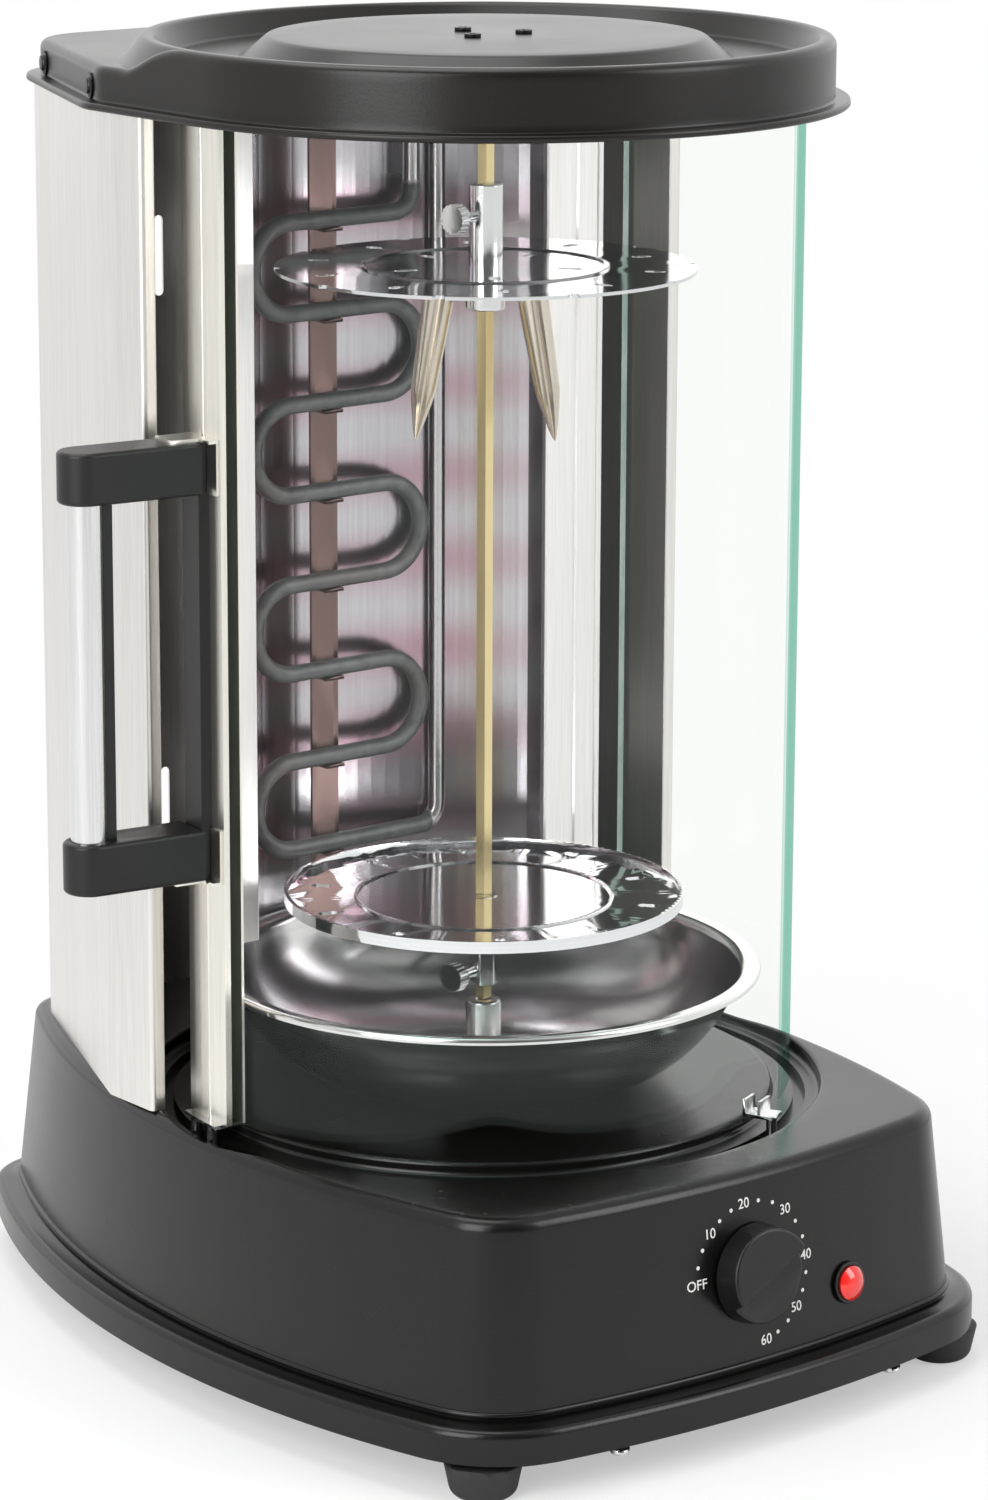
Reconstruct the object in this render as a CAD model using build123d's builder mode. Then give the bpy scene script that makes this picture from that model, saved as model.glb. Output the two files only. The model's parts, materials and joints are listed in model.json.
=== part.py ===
from build123d import *
from math import asin, atan2, cos, degrees, hypot, radians, sin, sqrt
import os

# Electric skewer grill: a free-standing vertical rotisserie with a turning glass door.
#
# Modelled in millimetres, +Z up, the front with the timer dial towards -Y. The pieces are
# built round the spit axis, which stands on X = Y = 0, with the floor at Z = 0. The last
# section moves them all by one offset, so that the origin is the bottom centre of the box.

# ---------------------------------------------------------------- driving dimensions
# moulded base
foot_height = 12.0
foot_radius = 13.5
foot_from_side = 35.5  # front feet, from the widest place of the base
foot_from_front = 29.0
foot_rear_x = 72.0
foot_from_rear = 36.0
plate_thick = 2.0
deck_side = 1.9  # flat rim of the deck, from the door track to the edge at the side
deck_front = 21.9
deck_rear = 14.4  # from the rear housing to the edge
base_widest = -7.1  # where along Y the base is widest
front_bow = 510.7  # radius of the bowed front
side_bow = 396.3  # radius of the bowed sides
front_corner = 45.0
rear_corner = 30.0
ledge_height = 12.0
ledge_width = 9.0
body_height = 68.0  # from the ledge to the deck
base_draft = 7.6  # how far the walls lean in from the ledge to the top
base_wall = 3.0
base_deck = 12.0  # thickness of the moulded deck round the door track
edge_round = 5.0

# round chamber
glass_outer = 110.4
glass_thick = 4.5
track_outer = 121.5
track_depth = 5.0
track_inner = 103.8
slot_radius = 114.0  # narrow slot in the track, where the guide pins run
slot_width = 4.4
slot_depth = 3.0
top_track_inner = 104.6
top_track_outer = 116.8
top_track_depth = 7.5
chamber_height = 350.5  # from the deck to the underside of the cap
door_gap = 1.5  # daylight under the glass

# rear housing and liner
wall_x = 120.3  # half width of the housing, and radius of the cap
wall_front = 36.0
wall_bend = 61.5
wall_rear_x = 78.0
wall_rear = 165.0
sheet = 0.8
liner_outer = 103.0
jamb_inner_x = 65.8
jamb_y = 48.5
jamb_width = 24.0
jamb_thick = 2.5
flange_outer_x = 90.6

# cap
cap_bend = 18.0
cap_corner = 30.0
cap_height = 23.5
deck_drop = 9.0  # how much lower the flat rear part is than the round ridge
plateau_drop = 0.4
cap_round = 5.0
channel_depth = 8.5
brim = 5.2
brim_thick = 2.5
plateau_radius = 74.4
cap_wall = 2.0

# heating element
tube_diameter = 6.4
element_from_top = 49.7  # underside of the cap to the first bar
element_from_pan = 25.8
element_bars = 8
element_reach = 38.0  # middle of the tube at the outside of a bend
element_y = 86.0
riser_near = 34.0  # the two ends of the tube go up to the cap
riser_far = 46.0
riser_bend = 8.0

# drip pan
pan_rim = 99.5
pan_rim_inner = 93.0
pan_floor = 38.0
pan_height = 43.0
pan_sheet = 1.0
pan_collar_height = 8.0

# spit and discs
spit_side = 4.0
spit_pin = 1.9
spit_lift = 8.0  # raised by this much, the spit leaves its bush
bush_radius = 6.5
bush_height = 28.0
coupling_drop = 11.5  # how far the coupling hangs below the cap
coupling_radius = 7.0
motor_radius = 25.0
motor_height = 13.0
upper_disc_drop = 47.0  # coupling to the upper disc
upper_disc_radius = 73.7
lower_disc_rise = 22.0  # rim of the pan to the lower disc
lower_disc_radius = 71.5
disc_sheet = 1.2
upper_hub_radius = 6.0
upper_hub_height = 29.0
upper_boss_radius = 7.0
upper_boss_height = 14.0
lower_hub_radius = 5.0
lower_hub_height = 31.0
screw_radius = 2.0
screw_reach = 13.5  # spit axis to the head of a thumbscrew
fork_sheet = 1.2
fork_reach = 15.0
fork_length = 60.0
fork_splay = 9.5
fork_width = 10.5
fork_angle = 90 - 38.7  # the fork stands across the line of sight
screw_angle = -81.0
upper_screw_rise = 19.0
lower_screw_drop = 26.0
motor_screw_circle = 13.0
skewer_circle = 60.0
skewer_holes = 10
fit = 0.05  # running clearance on a radius
play = 0.3  # clearance beside a piece that only lies or slides

# door
door_left = -104.5  # edges of the door as angles from the front, to the right
stile_right = -91.0
door_right = 113.0
stile_cover = 2.4  # stile plate in front of and behind the glass
handle_angle = -97.7
handle_rise = 89.5
handle_height = 153.0
handle_out = 157.0  # spit axis to the middle of the grip
grip_diameter = 12.5
bracket_height = 18.0
bracket_width = 18.0
backing_width = 12.0
spine_width = 7.0
spine_depth = 2.6
clip_sheet = 1.2
clip_reach = 6.2  # angle from the handle to the edge of a clip

# controls
dial_z = 59.0
knob_radius = 20.9
dial_turn = 42.0  # where the grip of the knob points in the photograph
lamp_x = 44.4
lamp_z = 45.5
lamp_radius = 6.0
lamp_barrel = 5.0
timer_neck = 4.2
timer_shaft_radius = 3.0
timer_shaft_front = 12.0  # how far the shaft stands out of the panel
timer_shaft_back = 15.8
timer_side = 38.0
timer_depth = 24.0
panel_bore = 24.0  # length of a cutter that passes through a wall
gland_x = 45.0
gland_z = 48.0
gland_barrel = 6.0
cord_bore = 3.6
insulator_radius = 4.5
duct_y = 140.0
duct_radius = 6.0
support_x = -3.0
grip_seat = 5.0  # how far the grip goes into each bracket
cap_screw_rise = 7.0
cap_screw_shank = 1.4
cap_screw_steps = (9.0, 86.0)  # from the bend along the slanting side of the cap
pan_clear = 8.0  # the inner strips stop this far above the drip pan

# ---------------------------------------------------------------- worked out from them
ledge_bottom = foot_height + plate_thick
glass_inner = glass_outer - glass_thick
ledge_top = ledge_bottom + ledge_height
base_top = ledge_top + body_height
base_edge = ledge_width + base_draft
base_half = track_outer + deck_side + base_edge
base_front = track_outer + deck_front + base_edge
base_rear = wall_rear + deck_rear + base_edge
foot_inset_x = base_half - foot_from_side
foot_front_y = foot_from_front - base_front
foot_rear_y = base_rear - foot_from_rear
chamber_top = base_top + chamber_height
cap_top = chamber_top + cap_height
cap_deck = cap_top - deck_drop
pan_top = base_top + pan_height
bush_top = base_top + bush_height
coupling_bottom = chamber_top - coupling_drop
upper_disc_z = coupling_bottom - upper_disc_drop
upper_screw_z = upper_disc_z + upper_screw_rise
lower_disc_z = pan_top + lower_disc_rise
lower_screw_z = lower_disc_z - lower_screw_drop
element_top = chamber_top - element_from_top
element_bottom = pan_top + element_from_pan
handle_bottom = base_top + handle_rise
handle_top = handle_bottom + handle_height
cap_screw_z = chamber_top + cap_screw_rise
panel_lean = degrees(atan2(base_draft, body_height))
track_floor = base_top - track_depth
glass_bottom = base_top + door_gap
spit_top = coupling_bottom + spit_lift
pin_bottom = bush_top - spit_lift + 0.5
glass_top = chamber_top + 3.0
cap_brim_top = chamber_top + brim_thick
track_roof = chamber_top + top_track_depth
strip_bottom = pan_top + pan_clear
strip_length = chamber_top - strip_bottom
plateau_z = cap_top - plateau_drop
channel_floor = cap_top - channel_depth
pieces = []


def keep(part, label):
    """Names a finished piece and puts it on the list that is written out."""
    part.label = label
    pieces.append(part)


def at_angle(angle):
    """Upright plane through the spit axis, its x outwards at an angle from the front."""
    turn = radians(angle - 90)
    return Plane(origin=(0, 0, 0), x_dir=(cos(turn), sin(turn), 0), z_dir=(sin(turn), -cos(turn), 0))


def level_at(angle, height):
    """Level plane at a height, its x pointing outwards at an angle from the front."""
    turn = radians(angle - 90)
    return Plane(origin=(0, 0, height), x_dir=(cos(turn), sin(turn), 0), z_dir=(0, 0, 1))


def wall_inset(height):
    """How far the leaning wall of the base stands inside the outline at a height."""
    return ledge_width + base_draft * (height - ledge_top) / body_height


def panel_plane(x, height):
    """Plane on the front wall, facing out of it."""
    bow = front_bow - wall_inset(height)
    y = front_bow - base_front - sqrt(bow**2 - x**2)
    lean, turn = radians(panel_lean), asin(x / bow)
    out = (sin(turn) * cos(lean), -cos(turn) * cos(lean), sin(lean))
    return Plane(origin=(x, y, height), x_dir=(cos(turn), sin(turn), 0), z_dir=out)


def rear_plane(x, height):
    """Plane on the leaning rear wall of the base, facing out of it."""
    lean = radians(panel_lean)
    y = base_rear - wall_inset(height)
    return Plane(origin=(x, y, height), x_dir=(-1, 0, 0), z_dir=(0, cos(lean), sin(lean)))


def base_plan(grow=0.0):
    """Bowed outline of the base, drawn in or out by an amount."""
    with BuildSketch() as plan:
        with Locations((0, front_bow - base_front)):
            Circle(front_bow + grow)
        for side in (1, -1):
            with Locations((side * (base_half - side_bow), base_widest)):
                Circle(side_bow + grow, mode=Mode.INTERSECT)
        with Locations((0, base_rear + grow)):
            Rectangle(4 * base_half, 4 * base_half, align=(Align.CENTER, Align.MIN), mode=Mode.SUBTRACT)
        fillet(plan.vertices().sort_by(Axis.Y)[:2], radius=front_corner + grow)
        fillet(plan.vertices().sort_by(Axis.Y)[-2:], radius=rear_corner + grow)
    return plan.sketch


def cap_plan(grow=0.0):
    """Outline of the cap: half a circle in front, and the tapering rear housing behind."""
    with BuildSketch() as plan:
        with BuildLine():
            ThreePointArc((-wall_x, 0), (0, -wall_x), (wall_x, 0))
            Line((wall_x, 0), (wall_x, wall_bend))
            Line((wall_x, wall_bend), (wall_rear_x, wall_rear))
            Line((wall_rear_x, wall_rear), (-wall_rear_x, wall_rear))
            Line((-wall_rear_x, wall_rear), (-wall_x, wall_bend))
            Line((-wall_x, wall_bend), (-wall_x, 0))
        make_face()
        by_depth = plan.vertices().sort_by(Axis.Y)
        fillet(by_depth[-4:-2], radius=cap_bend)
        fillet(plan.vertices().sort_by(Axis.Y)[-2:], radius=cap_corner)
        if grow:
            offset(amount=grow)
    return plan.sketch


# ---------------------------------------------------------------- moulded base
with BuildPart() as base_housing:
    with BuildSketch(Plane.XY.offset(ledge_bottom)):
        add(base_plan())
    extrude(amount=ledge_height)
    fillet(base_housing.edges().group_by(Axis.Z)[-1], radius=3)
    with BuildSketch(Plane.XY.offset(ledge_top)):
        add(base_plan(-wall_inset(ledge_top)))
    with BuildSketch(Plane.XY.offset(base_top)):
        add(base_plan(-wall_inset(base_top)))
    loft(ruled=True)
    fillet(base_housing.edges().group_by(Axis.Z)[-1], radius=edge_round)
    # hollow underneath
    with BuildSketch(Plane.XY.offset(ledge_bottom)):
        add(base_plan(-wall_inset(ledge_bottom) - base_wall))
    with BuildSketch(Plane.XY.offset(base_top - base_deck)):
        add(base_plan(-wall_inset(base_top - base_deck) - base_wall))
    loft(ruled=True, mode=Mode.SUBTRACT)
    with BuildSketch(Plane.XY.offset(base_top - base_deck)):
        Circle(track_inner - base_wall)
    extrude(amount=base_deck - base_wall, mode=Mode.SUBTRACT)
    # circular track for the door, with a rounded platform inside it
    with BuildSketch(Plane.XZ) as track:
        with Locations(((track_inner + track_outer) / 2, base_top)):
            Rectangle(track_outer - track_inner, 2 * track_depth)
        fillet(track.vertices().group_by(Axis.Y)[0], radius=2)
    revolve(axis=Axis.Z, mode=Mode.SUBTRACT)
    track_lip = base_housing.edges().filter_by(GeomType.CIRCLE).filter_by_position(
        Axis.Z, base_top - 0.01, base_top + 0.01
    )
    fillet(track_lip, radius=1.5)
    with BuildSketch(Plane.XZ):
        with Locations((slot_radius, track_floor)):
            Rectangle(slot_width, 2 * slot_depth)
    revolve(axis=Axis.Z, mode=Mode.SUBTRACT)
    # holes for the bush, the timer, the lamp, the cord gland and the wires
    Cylinder(bush_radius, 4 * base_top, mode=Mode.SUBTRACT)
    with Locations(panel_plane(0, dial_z)):
        Cylinder(timer_neck + play, panel_bore, mode=Mode.SUBTRACT)
    with Locations(panel_plane(lamp_x, lamp_z)):
        Cylinder(lamp_barrel + play, panel_bore, mode=Mode.SUBTRACT)
    with Locations(rear_plane(gland_x, gland_z)):
        Cylinder(gland_barrel, panel_bore, mode=Mode.SUBTRACT)
    with Locations((0, duct_y, base_top)):
        Cylinder(duct_radius, 4 * base_deck, mode=Mode.SUBTRACT)
keep(base_housing.part, "base_housing")

with BuildPart() as base_plate:
    with BuildSketch(Plane.XY.offset(foot_height)):
        add(base_plan(-ledge_width / 2))
        with GridLocations(base_half / 10, base_half * 4 / 7, 7, 2):
            SlotOverall(base_half / 3, 4, rotation=90, mode=Mode.SUBTRACT)
    extrude(amount=plate_thick)
keep(base_plate.part, "base_plate")

foot_places = [
    (-foot_inset_x, foot_front_y),
    (foot_inset_x, foot_front_y),
    (-foot_rear_x, foot_rear_y),
    (foot_rear_x, foot_rear_y),
]
with BuildPart() as feet:
    for place in foot_places:
        with BuildSketch(Plane.XY.offset(foot_height)):
            with Locations(place):
                Circle(foot_radius)
        extrude(amount=-foot_height, taper=12)
    fillet(feet.edges().group_by(Axis.Z)[0], radius=4)
keep(feet.part, "feet")

with BuildPart() as base_screws:
    with BuildSketch(Plane.XY.offset(foot_height)):
        for side in (1, -1):
            with Locations((side * (base_half / 2 - 8), ledge_width - base_front)):
                Circle(3.4)
            with Locations((side * (base_half - 14), base_half / 7)):
                Circle(3.4)
    extrude(amount=-1.8)
    fillet(base_screws.edges().group_by(Axis.Z)[0], radius=0.8)
keep(base_screws.part, "base_screws")

with BuildPart() as spindle_bush:
    with BuildSketch(Plane.XZ):
        with BuildLine():
            Polyline(
                (0, base_top - base_wall - 3),
                (bush_radius + 2, base_top - base_wall - 3),
                (bush_radius + 2, base_top - base_wall),
                (bush_radius, base_top - base_wall),
                (bush_radius, bush_top - 1),
                (bush_radius - 1, bush_top),
                (spit_pin + 1.2, bush_top),
                (spit_pin + fit, bush_top - 1.2),
                (spit_pin + fit, pin_bottom - 0.5),
                (0, pin_bottom - 0.5),
                close=True,
            )
        make_face()
    revolve(axis=Axis.Z)
keep(spindle_bush.part, "spindle_bush")

# ---------------------------------------------------------------- controls
dial_plane = panel_plane(0, dial_z)
with BuildPart() as timer_body:
    with BuildSketch(dial_plane.offset(-base_wall - 1)):
        RectangleRounded(timer_side, timer_side, 4)
    extrude(amount=-timer_depth)
    with BuildSketch(dial_plane.offset(-base_wall - 1)):
        Circle(9)
    extrude(amount=1 - play / 2)
    with BuildSketch(dial_plane.offset(-base_wall)):
        Circle(timer_neck)
    extrude(amount=base_wall + 4)
    with BuildSketch(dial_plane.offset(4)):
        Circle(timer_shaft_radius + fit)
    extrude(amount=-20, mode=Mode.SUBTRACT)
keep(timer_body.part, "timer_body")

with BuildPart() as timer_nut:
    with BuildSketch(dial_plane.offset(0.2)):
        RegularPolygon(7, 6)
        Circle(timer_neck, mode=Mode.SUBTRACT)
    extrude(amount=2.4)
keep(timer_nut.part, "timer_nut")

with BuildPart() as timer_shaft:
    with BuildSketch(dial_plane.offset(-timer_shaft_back)):
        Circle(timer_shaft_radius)
    extrude(amount=timer_shaft_back + timer_shaft_front)
    with BuildSketch(dial_plane.offset(4.4)):
        with Locations((timer_shaft_radius + 0.8, 0)):
            Rectangle(timer_shaft_radius, 4 * timer_shaft_radius)
    extrude(amount=20, mode=Mode.SUBTRACT)
keep(timer_shaft.part, "timer_shaft")

with BuildPart() as timer_knob:
    knob_side = Plane(origin=dial_plane.origin, x_dir=dial_plane.x_dir, z_dir=-dial_plane.y_dir)
    with BuildSketch(knob_side):
        with BuildLine():
            Polyline(
                (0, 4.6),
                (8.2, 4.6),
                (8.2, 1.2),
                (knob_radius, 1.2),
                (knob_radius, 3.6),
                (knob_radius - 1.2, 4.8),
                (knob_radius - 5.5, 7.0),
                (0, 8.0),
                close=True,
            )
        make_face()
    revolve(axis=Axis(dial_plane.origin, dial_plane.z_dir))
    with BuildSketch(dial_plane.offset(4.7)) as blade:
        SlotOverall(2 * knob_radius - 5, 9, rotation=dial_turn)
    extrude(amount=15, taper=4)
    fillet(timer_knob.edges().sort_by(Axis(dial_plane.origin, dial_plane.z_dir))[-2:], radius=1.2)
    with BuildSketch(dial_plane):
        Circle(timer_shaft_radius)
        with Locations((timer_shaft_radius + 0.8, 0)):
            Rectangle(timer_shaft_radius, 4 * timer_shaft_radius, mode=Mode.SUBTRACT)
    extrude(amount=timer_shaft_front + play, mode=Mode.SUBTRACT)
keep(timer_knob.part, "timer_knob")

lamp_plane = panel_plane(lamp_x, lamp_z)
with BuildPart() as lamp_holder:
    with BuildSketch(lamp_plane.offset(0.4)):
        Circle(lamp_radius + 1.4)
    extrude(amount=1.2)
    fillet(lamp_holder.edges().sort_by(Axis(lamp_plane.origin, lamp_plane.z_dir))[-1], radius=0.5)
    with BuildSketch(lamp_plane.offset(0.4)):
        Circle(lamp_barrel)
    extrude(amount=-20)
    with BuildSketch(lamp_plane.offset(-1.2)):
        Circle(lamp_barrel - 1)
    extrude(amount=8, mode=Mode.SUBTRACT)
keep(lamp_holder.part, "lamp_holder")

lens_rise = 2.2
lens_dome = (lamp_radius**2 + lens_rise**2) / (2 * lens_rise)
with BuildPart() as power_lamp_lens:
    lens_side = Plane(origin=lamp_plane.origin, x_dir=lamp_plane.x_dir, z_dir=-lamp_plane.y_dir)
    with BuildSketch(lens_side):
        with BuildLine():
            Line((0, -1.2), (lamp_barrel - 1, -1.2))
            Line((lamp_barrel - 1, -1.2), (lamp_barrel - 1, 1.6))
            Line((lamp_barrel - 1, 1.6), (lamp_radius, 1.6))
            Line((lamp_radius, 1.6), (lamp_radius, 2.4))
            RadiusArc((lamp_radius, 2.4), (0, 2.4 + lens_rise), radius=-lens_dome)
            Line((0, 2.4 + lens_rise), (0, -1.2))
        make_face()
    revolve(axis=Axis(lamp_plane.origin, lamp_plane.z_dir))
keep(power_lamp_lens.part, "power_lamp_lens")

gland_plane = rear_plane(gland_x, gland_z)
with BuildPart() as cord_gland:
    with BuildSketch(gland_plane):
        RegularPolygon(gland_barrel + 3.5, 6)
    extrude(amount=5)
    with BuildSketch(gland_plane.offset(5)):
        Circle(gland_barrel + 1)
    extrude(amount=5, taper=10)
    with BuildSketch(gland_plane):
        Circle(gland_barrel)
    extrude(amount=-14)
    with BuildSketch(gland_plane.offset(10)):
        Circle(cord_bore)
    extrude(amount=-24, mode=Mode.SUBTRACT)
keep(cord_gland.part, "cord_gland")

with BuildPart() as terminal_block:
    with BuildSketch(Plane.XY.offset(foot_height + plate_thick)):
        with Locations((gland_x, base_rear - 60)):
            Rectangle(44, 18)
    extrude(amount=16)
    with BuildSketch(Plane.XY.offset(foot_height + plate_thick + 16)):
        with Locations((gland_x, base_rear - 60)):
            with GridLocations(13, 0, 3, 1):
                Circle(3.5)
    extrude(amount=-6, mode=Mode.SUBTRACT)
keep(terminal_block.part, "terminal_block")

# ---------------------------------------------------------------- drip pan
with BuildPart() as drip_pan:
    with BuildSketch(Plane.XZ):
        with BuildLine():
            collar = bush_radius + play + pan_sheet / 2
            low = base_top + pan_sheet / 2
            high = pan_top - pan_sheet / 2
            collar_line = Line((collar, low + pan_collar_height), (collar, low + 2))
            collar_bend = TangentArc((collar, low + 2), (collar + 2, low), tangent=(0, -1))
            floor_line = Line((collar + 2, low), (pan_floor, low))
            side = TangentArc((pan_floor, low), (pan_rim_inner - 1, high - 3), tangent=(1, 0))
            lip = TangentArc(side @ 1, (pan_rim_inner + 2, high), tangent=side % 1)
            rim_line = Line((pan_rim_inner + 2, high), (pan_rim - 1.5, high))
            rim_roll = TangentArc(rim_line @ 1, (pan_rim - pan_sheet / 2, high - 1.2), tangent=(1, 0))
            offset(amount=pan_sheet / 2, side=Side.BOTH)
        make_face()
    revolve(axis=Axis.Z)
keep(drip_pan.part, "drip_pan")

# ---------------------------------------------------------------- spit
with BuildPart() as spit_rod:
    with BuildSketch(Plane.XY.offset(bush_top + 0.5)):
        Rectangle(spit_side, spit_side, rotation=screw_angle)
    extrude(amount=spit_top - bush_top - 0.5)
    with BuildSketch(Plane.XY.offset(pin_bottom)):
        Circle(spit_pin)
    extrude(amount=bush_top + 0.5 - pin_bottom)
    chamfer(spit_rod.edges().group_by(Axis.Z)[0], 0.6)
keep(spit_rod.part, "spit_rod")


def hub_hole(height, depth):
    """Square hole along the axis, a little larger than the spit."""
    with BuildPart() as hole:
        with BuildSketch(Plane.XY.offset(height)):
            Rectangle(spit_side + 2 * play, spit_side + 2 * play, rotation=screw_angle)
        extrude(amount=depth)
    return hole.part


def thumbscrew(height, angle):
    """Knurled screw that points at the spit and clamps a hub to it."""
    way = Plane(origin=(0, 0, height), x_dir=(0, 0, 1), z_dir=at_angle(angle).x_dir)
    with BuildPart() as screw:
        with BuildSketch(way.offset(spit_side / 2 + fit)):
            Circle(screw_radius - fit)
        extrude(amount=screw_reach - spit_side / 2 - fit)
        with BuildSketch(way.offset(screw_reach)):
            Circle(5.2)
            with PolarLocations(5.2, 18):
                Circle(0.45, mode=Mode.SUBTRACT)
        extrude(amount=4)
        with BuildSketch(way.offset(screw_reach - 2)):
            Circle(3.4)
        extrude(amount=2)
    return screw.part


def spit_disc(height, radius):
    """Plate with a turned rim, a pressed ring and a circle of skewer holes."""
    with BuildPart() as disc:
        with BuildSketch(Plane.XY.offset(height)):
            Circle(radius)
        extrude(amount=disc_sheet)
        with BuildSketch(Plane.XY.offset(height)):
            with PolarLocations(skewer_circle, skewer_holes, start_angle=3 - 90):
                SlotOverall(7.5, 4.2)
        extrude(amount=disc_sheet, mode=Mode.SUBTRACT)
    return disc.part


with BuildPart() as upper_disc:
    add(spit_disc(upper_disc_z, upper_disc_radius))
    with BuildSketch(Plane.XY.offset(upper_disc_z)):
        with PolarLocations(upper_disc_radius, skewer_holes, start_angle=3 - 90 + 18):
            Circle(2.2)
        with PolarLocations(30, 5, start_angle=-51):
            SlotOverall(9, 4)
        Circle(upper_hub_radius)
    extrude(amount=disc_sheet, mode=Mode.SUBTRACT)
    with BuildSketch(Plane.XY.offset(upper_disc_z + disc_sheet)):
        Circle(43.6)
        Circle(42.2, mode=Mode.SUBTRACT)
    extrude(amount=0.6)
keep(upper_disc.part, "upper_disc")

with BuildPart() as upper_hub:
    with BuildSketch(Plane.XY.offset(upper_disc_z - upper_boss_height)):
        Circle(upper_boss_radius)
    extrude(amount=upper_boss_height - fork_sheet)
    fillet(upper_hub.edges().group_by(Axis.Z)[0], radius=1)
    with BuildSketch(Plane.XY.offset(upper_disc_z - fork_sheet)):
        Circle(upper_hub_radius)
    extrude(amount=fork_sheet + disc_sheet + upper_hub_height)
    fillet(upper_hub.edges().group_by(Axis.Z)[-1], radius=0.8)
    add(hub_hole(upper_disc_z - upper_boss_height, 3 * upper_hub_height), mode=Mode.SUBTRACT)
    with Locations(Plane(origin=(0, 0, upper_screw_z), x_dir=(0, 0, 1), z_dir=at_angle(screw_angle).x_dir)):
        Cylinder(screw_radius, 2 * screw_reach, align=(Align.CENTER, Align.CENTER, Align.MIN), mode=Mode.SUBTRACT)
keep(upper_hub.part, "upper_hub")

keep(thumbscrew(upper_screw_z, screw_angle), "upper_thumbscrew")

fork_plane = level_at(fork_angle, upper_disc_z - fork_sheet)
fork_lean = degrees(atan2(fork_splay, fork_length))
with BuildPart() as meat_fork:
    with BuildSketch(fork_plane):
        SlotOverall(2 * fork_reach + 8, 17)
        Circle(upper_hub_radius, mode=Mode.SUBTRACT)
    extrude(amount=fork_sheet)
    for side in (1, -1):
        root = fork_plane.from_local_coords((side * fork_reach, 0, 0))
        down = (fork_plane.x_dir * side * fork_splay - fork_plane.z_dir * fork_length).normalized()
        prong_plane = Plane(origin=root, x_dir=fork_plane.y_dir.cross(down), z_dir=down)
        with BuildSketch(prong_plane):
            with BuildLine():
                Polyline((-fork_width / 2, 1.2), (0, -1.6), (fork_width / 2, 1.2))
                offset(amount=fork_sheet / 2, side=Side.BOTH)
            make_face()
        extrude(amount=hypot(fork_length, fork_splay))
        tip = hypot(fork_length, fork_splay)
        with BuildSketch(Plane(origin=root, x_dir=prong_plane.x_dir, z_dir=-prong_plane.y_dir)):
            with BuildLine():
                Polyline(
                    (1, -tip - 1),
                    (fork_width, -tip - 1),
                    (fork_width, 0.7 - 0.7 * tip),
                    (fork_width / 2, -0.7 * tip),
                    (0.4, -tip),
                    close=True,
                )
            make_face()
            mirror(about=Plane.YZ)
        extrude(amount=fork_width, both=True, mode=Mode.SUBTRACT)
keep(meat_fork.part, "meat_fork")

with BuildPart() as lower_disc:
    add(spit_disc(lower_disc_z, lower_disc_radius))
    with BuildSketch(Plane.XY.offset(lower_disc_z)):
        Circle(lower_hub_radius)
    extrude(amount=disc_sheet, mode=Mode.SUBTRACT)
    with BuildSketch(Plane.XY.offset(lower_disc_z + disc_sheet)):
        Circle(lower_disc_radius)
        Circle(lower_disc_radius - 1.4, mode=Mode.SUBTRACT)
    extrude(amount=3)
    with BuildSketch(Plane.XY.offset(lower_disc_z + disc_sheet)):
        Circle(46.6)
        Circle(45.2, mode=Mode.SUBTRACT)
    extrude(amount=0.6)
keep(lower_disc.part, "lower_disc")

with BuildPart() as lower_hub:
    with BuildSketch(Plane.XY.offset(lower_disc_z - lower_hub_height)):
        Circle(lower_hub_radius)
    extrude(amount=lower_hub_height + disc_sheet)
    with BuildSketch(Plane.XY.offset(lower_disc_z - 1.5)):
        Circle(lower_hub_radius + 4)
    extrude(amount=1.5)
    add(hub_hole(lower_disc_z - lower_hub_height, 2 * lower_hub_height), mode=Mode.SUBTRACT)
    with Locations(Plane(origin=(0, 0, lower_screw_z), x_dir=(0, 0, 1), z_dir=at_angle(screw_angle).x_dir)):
        Cylinder(screw_radius, 2 * screw_reach, align=(Align.CENTER, Align.CENTER, Align.MIN), mode=Mode.SUBTRACT)
keep(lower_hub.part, "lower_hub")

keep(thumbscrew(lower_screw_z, screw_angle), "lower_thumbscrew")

# ---------------------------------------------------------------- drive in the cap
motor_bottom = plateau_z - cap_wall - motor_height
with BuildPart() as drive_coupling:
    with BuildSketch(Plane.XY.offset(coupling_bottom)):
        Circle(coupling_radius)
    extrude(amount=motor_bottom - coupling_bottom - play)
    chamfer(drive_coupling.edges().group_by(Axis.Z)[0], 1)
    with BuildSketch(Plane.XY.offset(coupling_bottom)):
        Rectangle(spit_side + 2 * fit, spit_side + 2 * fit, rotation=screw_angle)
    extrude(amount=2 * spit_lift + 1, mode=Mode.SUBTRACT)
    with BuildSketch(Plane.XY.offset(motor_bottom - play)):
        Circle(3)
    extrude(amount=motor_height / 2)
keep(drive_coupling.part, "drive_coupling")

with BuildPart() as drive_motor:
    with BuildSketch(Plane.XY.offset(motor_bottom)):
        Circle(motor_radius)
        with Locations((0, motor_radius)):
            Rectangle(14, 12)
    extrude(amount=motor_height)
    fillet(drive_motor.edges().group_by(Axis.Z)[0], radius=1.5)
    with BuildSketch(Plane.XY.offset(motor_bottom)):
        Circle(3 + fit)
    extrude(amount=motor_height / 2 + 1, mode=Mode.SUBTRACT)
    with BuildSketch(Plane.XY.offset(motor_bottom + motor_height)):
        with PolarLocations(motor_screw_circle, 3, start_angle=90):
            Circle(1.6)
    extrude(amount=-5, mode=Mode.SUBTRACT)
keep(drive_motor.part, "drive_motor")

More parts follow.
